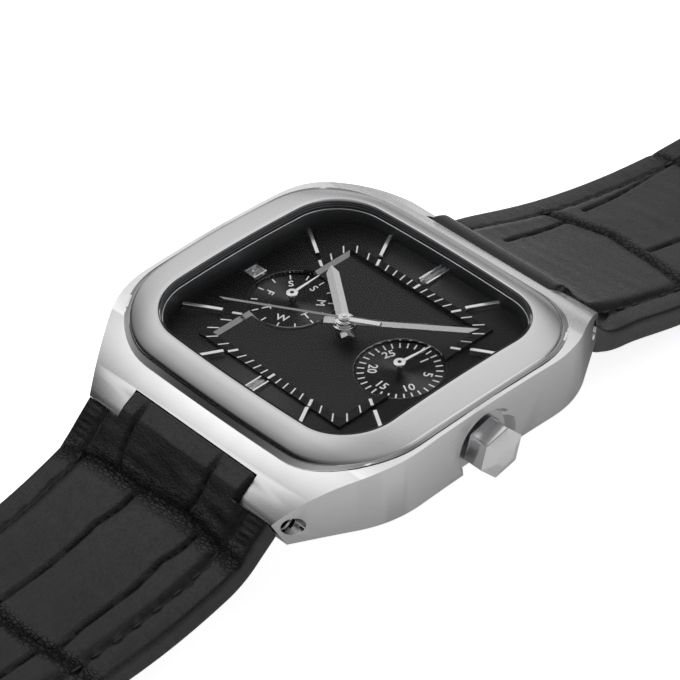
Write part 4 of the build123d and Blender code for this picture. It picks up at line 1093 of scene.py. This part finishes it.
class Route:
    """Side view of one strap half: straight runs and upward bends of its upper face, from the lug bar."""

    def __init__(self, heading, steps, landing_radius, flat_top, end_y):
        self.heading = heading
        a = radians(heading)
        self.runs = []
        self.length = 0.0
        self.end = (BAR_Y - LOOP_RADIUS * sin(a), BAR_Z + LOOP_RADIUS * cos(a), a)
        for straight, radius, turn in steps:
            self.extend(straight, 0, 0)
            self.extend(0, radius, radians(turn))
        slope = -self.end[2]
        fall = self.end[1] - flat_top - landing_radius * (1 - cos(slope))
        self.extend(fall / sin(slope), 0, 0)
        self.extend(0, landing_radius, slope)
        self.extend(end_y - self.end[0], 0, 0)

    def extend(self, straight, radius, turn):
        y, z, a = self.end
        length = straight + radius * turn
        self.runs.append((self.length, length, y, z, a, radius))
        self.length += length
        self.end = self.at(self.length)

    def at(self, s):
        """Y, Z and heading on the upper face at a length from the lug bar."""
        for start, length, y, z, a, radius in self.runs:
            if s <= start + length + 1e-9:
                break
        along = s - start
        if not radius:
            return y + along * cos(a), z + along * sin(a), a
        b = a + along / radius
        return y - radius * sin(a) + radius * sin(b), z + radius * cos(a) - radius * cos(b), b


def strap_half(y):
    """Half width of the strap at one place along it."""
    share = min(max((y - TAPER_START) / (TAPER_END - TAPER_START), 0), 1)
    return SHOULDER_HALF - (SHOULDER_HALF - BUCKLE_HALF) * share


def nearest(x, s, lines):
    """Distance from each place to the nearest of some polylines."""
    best = np.full(x.shape, 99.0)
    low, high = s.min() - 5, s.max() + 5
    for line in lines:
        for (ax, as_), (bx, bs) in zip(line, line[1:]):
            if min(as_, bs) > high or max(as_, bs) < low:
                continue
            dx, ds = bx - ax, bs - as_
            t = np.clip(((x - ax) * dx + (s - as_) * ds) / (dx * dx + ds * ds + 1e-9), 0, 1)
            best = np.minimum(best, np.hypot(x - ax - t * dx, s - as_ - t * ds))
    return best


def wander(x, s, scale, seed):
    """Smooth seeded unevenness between -1 and 1."""
    rng = np.random.default_rng(seed)
    total = np.zeros(x.shape)
    for _ in range(7):
        ax, as_ = rng.normal(size=2) * scale
        total += np.sin(x * ax + s * as_ + rng.uniform(0, 2 * pi))
    return total / 3.5


def relief(x, s, half, cross, along, seed):
    """Height of the crocodile scales over the plain upper face, in millimetres, the painted shade mark of the creases,
    and how near the creases are.
    """
    edge = half - np.abs(x)
    warp = 0.35 * wander(x, s, 0.35, seed)
    wide = nearest(x + warp, s + 0.5 * warp, cross)
    slim = nearest(x + 0.6 * warp, s, along)
    both = np.hypot(np.maximum(1 - wide / 1.3, 0), 0.6 * np.maximum(1 - slim / 0.7, 0))
    pillow = 1 - np.clip(both, 0, 1) ** 1.7
    height = 0.30 * pillow + 0.14 * (1 - np.exp(-(np.minimum(wide, slim) / 3.2) ** 2))
    height -= 0.30 * np.exp(-(wide / 0.5) ** 2)
    height -= 0.26 * np.exp(-(slim / 0.17) ** 2)
    crumple = wander(x, s, 4.0, seed + 5) + 0.7 * wander(x, s, 7.0, seed + 6)
    height += 0.06 * crumple * np.exp(-(wide / 0.9) ** 2) + 0.015 * crumple * np.exp(-(slim / 0.8) ** 2)
    fold = wander(x * 0.25, s, 2.4, seed + 1) * (0.5 + 0.5 * wander(x, s, 0.3, seed + 2))
    height += 0.035 * fold * np.clip(wide, 0, 2) / 2
    pad = 1 / (1 + np.exp(-(edge - 3.35) / 0.22))
    height = height * (0.35 + 0.65 * pad) + 0.12 * pad
    seam_line = edge - SEAM_INSET - 0.16 * wander(x * 0, s, 2.6, seed + 7)
    height -= 0.18 * np.exp(-(seam_line / 0.24) ** 2)
    height += 0.05 * np.exp(-((edge - 1.5) / 0.9) ** 2) * (1 + 0.6 * wander(x * 0.2, s, 3.4, seed + 3))
    # Mark for painted shade: dark in the creases, the cross creases and the stitch groove.
    painted_crease_shade = np.maximum(np.exp(-(slim / 0.2) ** 2), 0.85 * np.exp(-(wide / 0.5) ** 2))
    painted_crease_shade = np.maximum(painted_crease_shade, 0.95 * np.exp(-(seam_line / 0.24) ** 2))
    return height, painted_crease_shade, np.maximum(np.exp(-(wide / 1.1) ** 2), 0.25 * np.exp(-(slim / 0.8) ** 2))


def section(half):
    """Closed outline of the strap: (x, depth below the upper face), anticlockwise from behind."""
    round_top, round_foot = 0.5, 0.3
    reach = half - round_top
    start = min(TONGUE_HALF, reach)
    right = [(min(x, reach), 0.0) for x in np.arange(0, TONGUE_HALF, 0.2)]
    right += [(start + (reach - start) * k / 19, 0.0) for k in range(20)]
    for k in range(1, 6):
        a = radians(18 * k)
        right.append((reach + round_top * sin(a), round_top * (1 - cos(a))))
    right += [(half, round_top + (STRAP_THICK - round_top - round_foot) * k / 3) for k in (1, 2, 3)]
    for k in range(1, 4):
        a = radians(30 * k)
        right.append((half - round_foot * (1 - cos(a)), STRAP_THICK - round_foot * (1 - sin(a))))
    right += [((half - round_foot) * (1 - k / 5), STRAP_THICK) for k in range(1, 6)]
    left = [(-x, depth) for x, depth in reversed(right[1:-1])]
    return right + left


def loop_reach(heading, turn, notch):
    """Distance of the leather's upper face from the lug bar where it rises to the notch and dips behind it."""
    reach = LOOP_RADIUS / cos(turn) if turn < radians(70) else 99
    reach = -log(exp(-reach * 6) + exp(-notch * 6)) / 6
    aside = sin(heading + turn)
    if aside > 0.01:
        reach = min(reach, WALL_ROOM / aside)
    return max(reach, LOOP_RADIUS)


def shoulder_start(heading, depth):
    """Where the leather begins beside the tongue, just clear of the lug's slanted end."""
    lean = heading + radians(LUG_LEAN)
    return (LUG_END + (LOOP_RADIUS - depth) * sin(lean)) / cos(lean)


def strap_stations(route, tip):
    """Kinds and places of the cross sections: round the lug bar, on the tongue, then at full width."""
    stations = [("loop", -radians(t)) for t in range(200, 62, -9)]
    stations += [("loop", -radians(t)) for t in range(62, 2, -3)]
    narrow = shoulder_start(radians(route.heading), 0)
    stations += [("tongue", narrow * k / 5) for k in range(6)]
    s = narrow + 0.03
    last = route.length - (tip or 0)
    while s < last - 0.1:
        stations.append(("wide", s))
        s += 0.17 if s < 42 else 0.42
    stations.append(("wide", last))
    if tip:
        stations += [("wide", last + tip * sin(radians(90 * k / 13))) for k in range(1, 13)]
    return stations


def strap_row(route, side, kind, value, tip, cross, along, seed):
    """Points of one cross section, with the painted crease shade and the nearness of creases as marks."""
    heading = radians(route.heading)
    y = route.at(max(value, 0))[0]
    half = strap_half(y) if kind == "wide" else TONGUE_HALF
    s = value if kind != "loop" else -LOOP_RADIUS * tan(min(-value, 0.95))
    if tip and value > route.length - tip:
        half = half - tip + sqrt(max(tip * tip - (value - route.length + tip) ** 2, 0.0))
    points = section(half)
    xs = np.array([p[0] for p in points])
    depths = np.array([p[1] for p in points])
    top = np.clip(1 - depths / 0.5, 0, 1)
    width = max(half, 8.9) if kind == "wide" else SHOULDER_HALF
    lift, painted_crease_shade, crumple = relief(xs, np.full(xs.shape, s), width, cross, along, seed)
    lift = lift * top
    if kind == "loop":
        lift = lift * max(0.0, 1 + value)
    row = []
    narrow = shoulder_start(heading, 0)
    fall = SHOULDER_FALL * exp(-((s - narrow) / FALL_LENGTH) ** 2) if kind == "wide" and side > 0 else 0
    for x, depth, up, mark, rough in zip(xs, depths, lift, painted_crease_shade * top, crumple * top):
        if kind == "loop":
            b = heading - value
            outer = loop_reach(heading, -value, NOTCH_REACH[side])
            reach = outer - (outer - 0.8) * depth / STRAP_THICK + up
            py, pz = BAR_Y - reach * sin(b), BAR_Z + reach * cos(b)
        else:
            at_s = s
            if kind == "wide" and s < BLEND_S:
                begin = shoulder_start(heading, depth)
                at_s = begin + (s - narrow) * (BLEND_S - begin) / (BLEND_S - narrow)
            py, pz, a = route.at(at_s)
            shoulder = min(max((abs(x) - TONGUE_HALF) / 1.6, 0), 1)
            py, pz = py + (depth - up) * sin(a), pz - (depth - up) * cos(a) - fall * shoulder
        row.append((side * x, side * py, pz, mark, rough))
    return row


def strap_body(name, side, route, body, replaced, cross, along, seed, tip=None, holes=(), slot_end=None,
               buckle_loop=None):
    """One half of the strap: scaled leather on top, painted edges, lining beneath."""
    bm = bmesh.new()
    marks = [bm.verts.layers.float.new(label) for label in STRAP_MARKS]
    ring_body(bm, [strap_row(route, side, kind, value, tip, cross, along, seed)
                   for kind, value in strap_stations(route, tip)], marks)
    bmesh.ops.holes_fill(bm, edges=open_edges(bm))
    bmesh.ops.remove_doubles(bm, verts=bm.verts, dist=0.003)
    bmesh.ops.recalc_face_normals(bm, faces=bm.faces)
    made = as_object(name, bm, [croc, edge_paint, lining], MM, None)
    if holes or slot_end:
        cutters = bmesh.new()
        for y in holes:
            moved(cutters, disc(cutters, 1.0, -16, 0, 28), (0, side * y, 0))
        if slot_end:
            block(cutters, (-1.4, slot_end - 3.6, -16), (1.4, slot_end + 3, 0))
        tool = as_object("cutters", cutters, [], MM, None)
        cut = made.modifiers.new("holes", "BOOLEAN")
        cut.operation = "DIFFERENCE"
        cut.object = tool
        cut.solver = "EXACT"
        bpy.context.view_layer.update()
        fresh = bpy.data.meshes.new_from_object(made.evaluated_get(bpy.context.evaluated_depsgraph_get()))
        made.modifiers.clear()
        made.data = fresh
        bpy.data.objects.remove(tool)
    made.data.shade_smooth()
    made.data.set_sharp_from_angle(angle=radians(60))
    for face in made.data.polygons:
        if face.material_index == 0:
            x, y = (face.center / MM).xy
            if face.normal.z < -0.6 and abs(y) > 23:
                face.material_index = 2
            elif abs(face.normal.x) > 0.75 and abs(x) > 9:
                face.material_index = 1
    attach(made, body)
    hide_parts(*replaced)
    if buckle_loop:
        bm = bmesh.new()
        for end in (-1, 1):
            turned(bm, disc(bm, 1.5, -4.25, 4.25, 40), spin(90, "Y"), (end * 5.7, 0, 0))
        soften(bm, [e for e in bm.edges if abs(e.verts[0].co.x - e.verts[1].co.x) < 1e-3], 0.3, 2)
        moved(bm, bm.verts, buckle_loop)
        piece(name + "_bar_loops", bm, body, lining)


def make_stitches(name, side, route, body, first, last):
    """Lock stitches in the groove along both edges."""
    bm = bmesh.new()
    pitch, length = 2.35, 1.55
    s = first
    while s < last:
        y, z, a = route.at(s)
        for sign in (-1, 1):
            x = sign * (strap_half(y) - SEAM_INSET)
            verts = bmesh.ops.create_uvsphere(bm, u_segments=6, v_segments=5, radius=1)["verts"]
            bmesh.ops.scale(bm, verts=verts, vec=(0.17, length / 2, 0.13))
            turned(bm, verts, spin(sign * 5))
            turned(bm, verts, Matrix.Rotation(a, 3, "X"), (x, y, z + 0.02))
        s += pitch
    if side < 0:
        turned(bm, bm.verts, spin(180))
    piece(name, bm, body, thread, smooth=60)


def scale_rows(first_rows, first_cross, start, end, step, seed):
    """Creases for the whole half: the ones given, then smaller scales in rows to the end."""
    rng = np.random.default_rng(seed)
    cross, along = list(first_cross), list(first_rows)
    s = start
    while s < end:
        bow = rng.uniform(-0.8, 0.8)
        cross.append([(-13, s + bow), (-6.5, s + rng.uniform(-0.4, 0.4)), (0, s - bow * 0.4),
                      (6.5, s + rng.uniform(-0.4, 0.4)), (13, s + bow * 0.5)])
        middle = rng.uniform(-1.2, 1.2)
        for x in (middle - 4.2 + rng.uniform(-0.5, 0.5), middle + 4.2 + rng.uniform(-0.5, 0.5)):
            along.append([(x, s + 0.2), (x + rng.uniform(-0.4, 0.4), s + step * 0.55),
                          (x + rng.uniform(-0.3, 0.3), s + step - 0.2)])
        s += step
        step = max(step * 0.93, 6.5)
    return cross, along


def make_strap():
    """Both halves of the strap with their stitches; their creases are placed as the picture shows them."""
    six = Route(-40.5, ((4.9, 8.0, 24.0), (1.0, 50.0, 10.7)), 80.0, -8.8, 134.5)
    near_cross = [[(-13, 5.8), (-8.8, 5.1), (-4.4, 4.5), (-0.7, 4.9), (3.6, 5.2), (7.7, 5.4), (13, 6.8)],
                  [(-13, 22.6), (-1.0, 23.5), (2.8, 23.5), (7.8, 25.0), (13, 25.6)]]
    near_along = [[(-4.1, -3.0), (-4.5, 1.2), (-4.75, 3.2), (-4.2, 4.5)],
                  [(6.3, -3.0), (6.1, 1.2), (5.8, 3.4), (5.0, 4.9)],
                  [(-7.0, 5.6), (-6.7, 7.5), (-6.1, 9.7), (-6.4, 13.5), (-6.2, 19.4), (-6.4, 22.8)],
                  [(1.6, 5.4), (1.9, 7.5), (2.6, 10.6), (2.1, 16.8), (2.4, 23.2)]]
    cross, along = scale_rows(near_along, near_cross, 36.5, 113, 11.0, 5)
    along += [[(-5.2, 23.7), (-5.0, 30), (-5.4, 36)], [(4.4, 24.4), (4.0, 30), (4.4, 36.3)]]
    holes = [76.0 + 6.5 * k for k in range(7)]
    strap_body("long_strap", -1, six, "strap_six", ["strap_hole_half", "strap_hole_lining"], cross, along, 11,
               tip=8.0, holes=holes)
    make_stitches("long_strap_stitching", -1, six, "strap_six", 6.3, six.length - 8)
    twelve = Route(-57.0, ((2.0, 8.0, 36.0),), 90.0, -7.6, 95.0)
    near_cross = [[(-9.4, 18.5), (-6.5, 19.4), (-2.0, 21.0), (3.0, 20.4), (7.8, 19.8), (10, 19.4)]]
    near_along = [[(-5.9, 8.5), (-6.1, 12.7), (-6.5, 18.6)], [(-7.2, 22.4), (-7.4, 26), (-7.9, 32), (-8.4, 37.6)],
                  [(2.4, 22.0), (2.8, 30), (2.2, 37.6)]]
    cross, along = scale_rows(near_along, near_cross, 38.0, 75, 11.0, 8)
    strap_body("short_strap", 1, twelve, "strap_twelve", ["strap_buckle_half", "strap_buckle_lining"], cross, along, 23,
               slot_end=95.0, buckle_loop=(0, 95.0, -8.7))
    make_stitches("short_strap_stitching", 1, twelve, "strap_twelve", 7.0, twelve.length - 3)


def make_keeper(name, node, body):
    """Leather loop with rounded edges round the strap."""
    low, high = (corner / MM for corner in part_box(node))
    wall, edge, chamfer, corner_radius = 0.9, 0.35, 0.1, 0.95
    centre_z = (low.z + high.z) / 2
    half_x, half_z = (high.x - low.x) / 2, (high.z - low.z) / 2
    inward = [(edge, 0.0), (chamfer, chamfer), (0, edge), (0, wall - edge), (chamfer, wall - chamfer), (edge, wall)]
    profile = [(low.y + step, depth) for step, depth in inward]
    profile += [(high.y - step, depth) for step, depth in reversed(inward)]
    bm = bmesh.new()
    ring_body(bm, [[(x, y, centre_z + z) for x, z in
                    outline(half_x - depth, half_z - depth, 0, 0, max(corner_radius - depth, 0.12), 6, 10)]
                   for y, depth in profile])
    close_ring(bm)
    piece(name, bm, body, keeper_leather, [node], 50)


def make_buckle():
    """Frame and tongue of the buckle with rounded edges."""
    for name, node, body, width, segments in (("pin_frame", "buckle_frame", "buckle", 0.35, 4),
                                              ("pin_tongue", "buckle_tang", "tang", 0.2, 3)):
        piece(name, node_copy(node, width, 40, segments), body, polished, [node], 40, 1,
              closed=False)


set_camera()
make_studio()
make_middle()
make_bezel()
make_crystal()
make_printing()
make_markers()
make_round_rims()
make_track_slope()
make_hand("hour_pointer", "hour_hand", "hour_hand", 304.4, 9.2, 1.25, 0.9, 2.0, 1.25, 7.0, 1.2, 0.32)
make_hand("minute_pointer", "minute_hand", "minute_hand", 52.4, 13.0, 1.0, 1.0, 2.0, 1.0, 7.5, 0.92, 0.26)
make_hand("second_pointer", "second_hand", "second_hand", 240.0, 12.7, 0.26, 0.5, 3.6, 0.8, 7.9, 0.62)
make_small_hand("day_pointer", "day_hand", -ROUND_X, -2.6)
make_small_hand("date_pointer", "date_hand", ROUND_X, 5.8)
make_hub()
make_crown()
make_screws()
make_back()
make_strap()
make_keeper("fixed_loop", "fixed_keeper", "strap_twelve")
make_keeper("sliding_loop", "free_keeper", "free_keeper")
make_buckle()

# Finishes of all CAD nodes, those that a piece replaces too
for material, names in (
        (plain_steel, "battery_clamp crown_tube lug_bar_twelve lug_bar_six setting_lever winding_stem day_arbor"
                      " date_arbor buckle_bar caseback_screws"),
        (hand_steel, "hour_wheel cannon_pinion seconds_arbor hour_markers hour_hand minute_hand second_hand"
                     " day_hand date_hand"),
        (polished, "lug_bar_screws buckle_frame buckle_tang"), (brass, "movement_plate train_bridge"),
        (rubber, "caseback_gasket crown_gasket crystal_gasket"), (croc, "strap_buckle_half strap_hole_half"),
        (lining, "strap_buckle_lining strap_hole_lining"), (keeper_leather, "fixed_keeper free_keeper"),
        (rehaut_black, "rehaut_ring"), (dial_black, "dial_plate"), (track_black, "minute_track_frame"),
        (holder_plastic, "movement_holder"), (cell_steel, "battery"), (circuit_green, "circuit_board"),
        (copper, "motor_coil"), (flank_satin, "mid_case"), (satin, "bezel"), (glass, "crystal"),
        (stone, "marker_stones"), (back_satin, "caseback"), (crown_satin, "crown")):
    for node in names.split():
        mesh = nodes[node].data
        if not mesh.materials:
            mesh.materials.append(material)
        for slot in range(len(mesh.materials)):
            mesh.materials[slot] = material
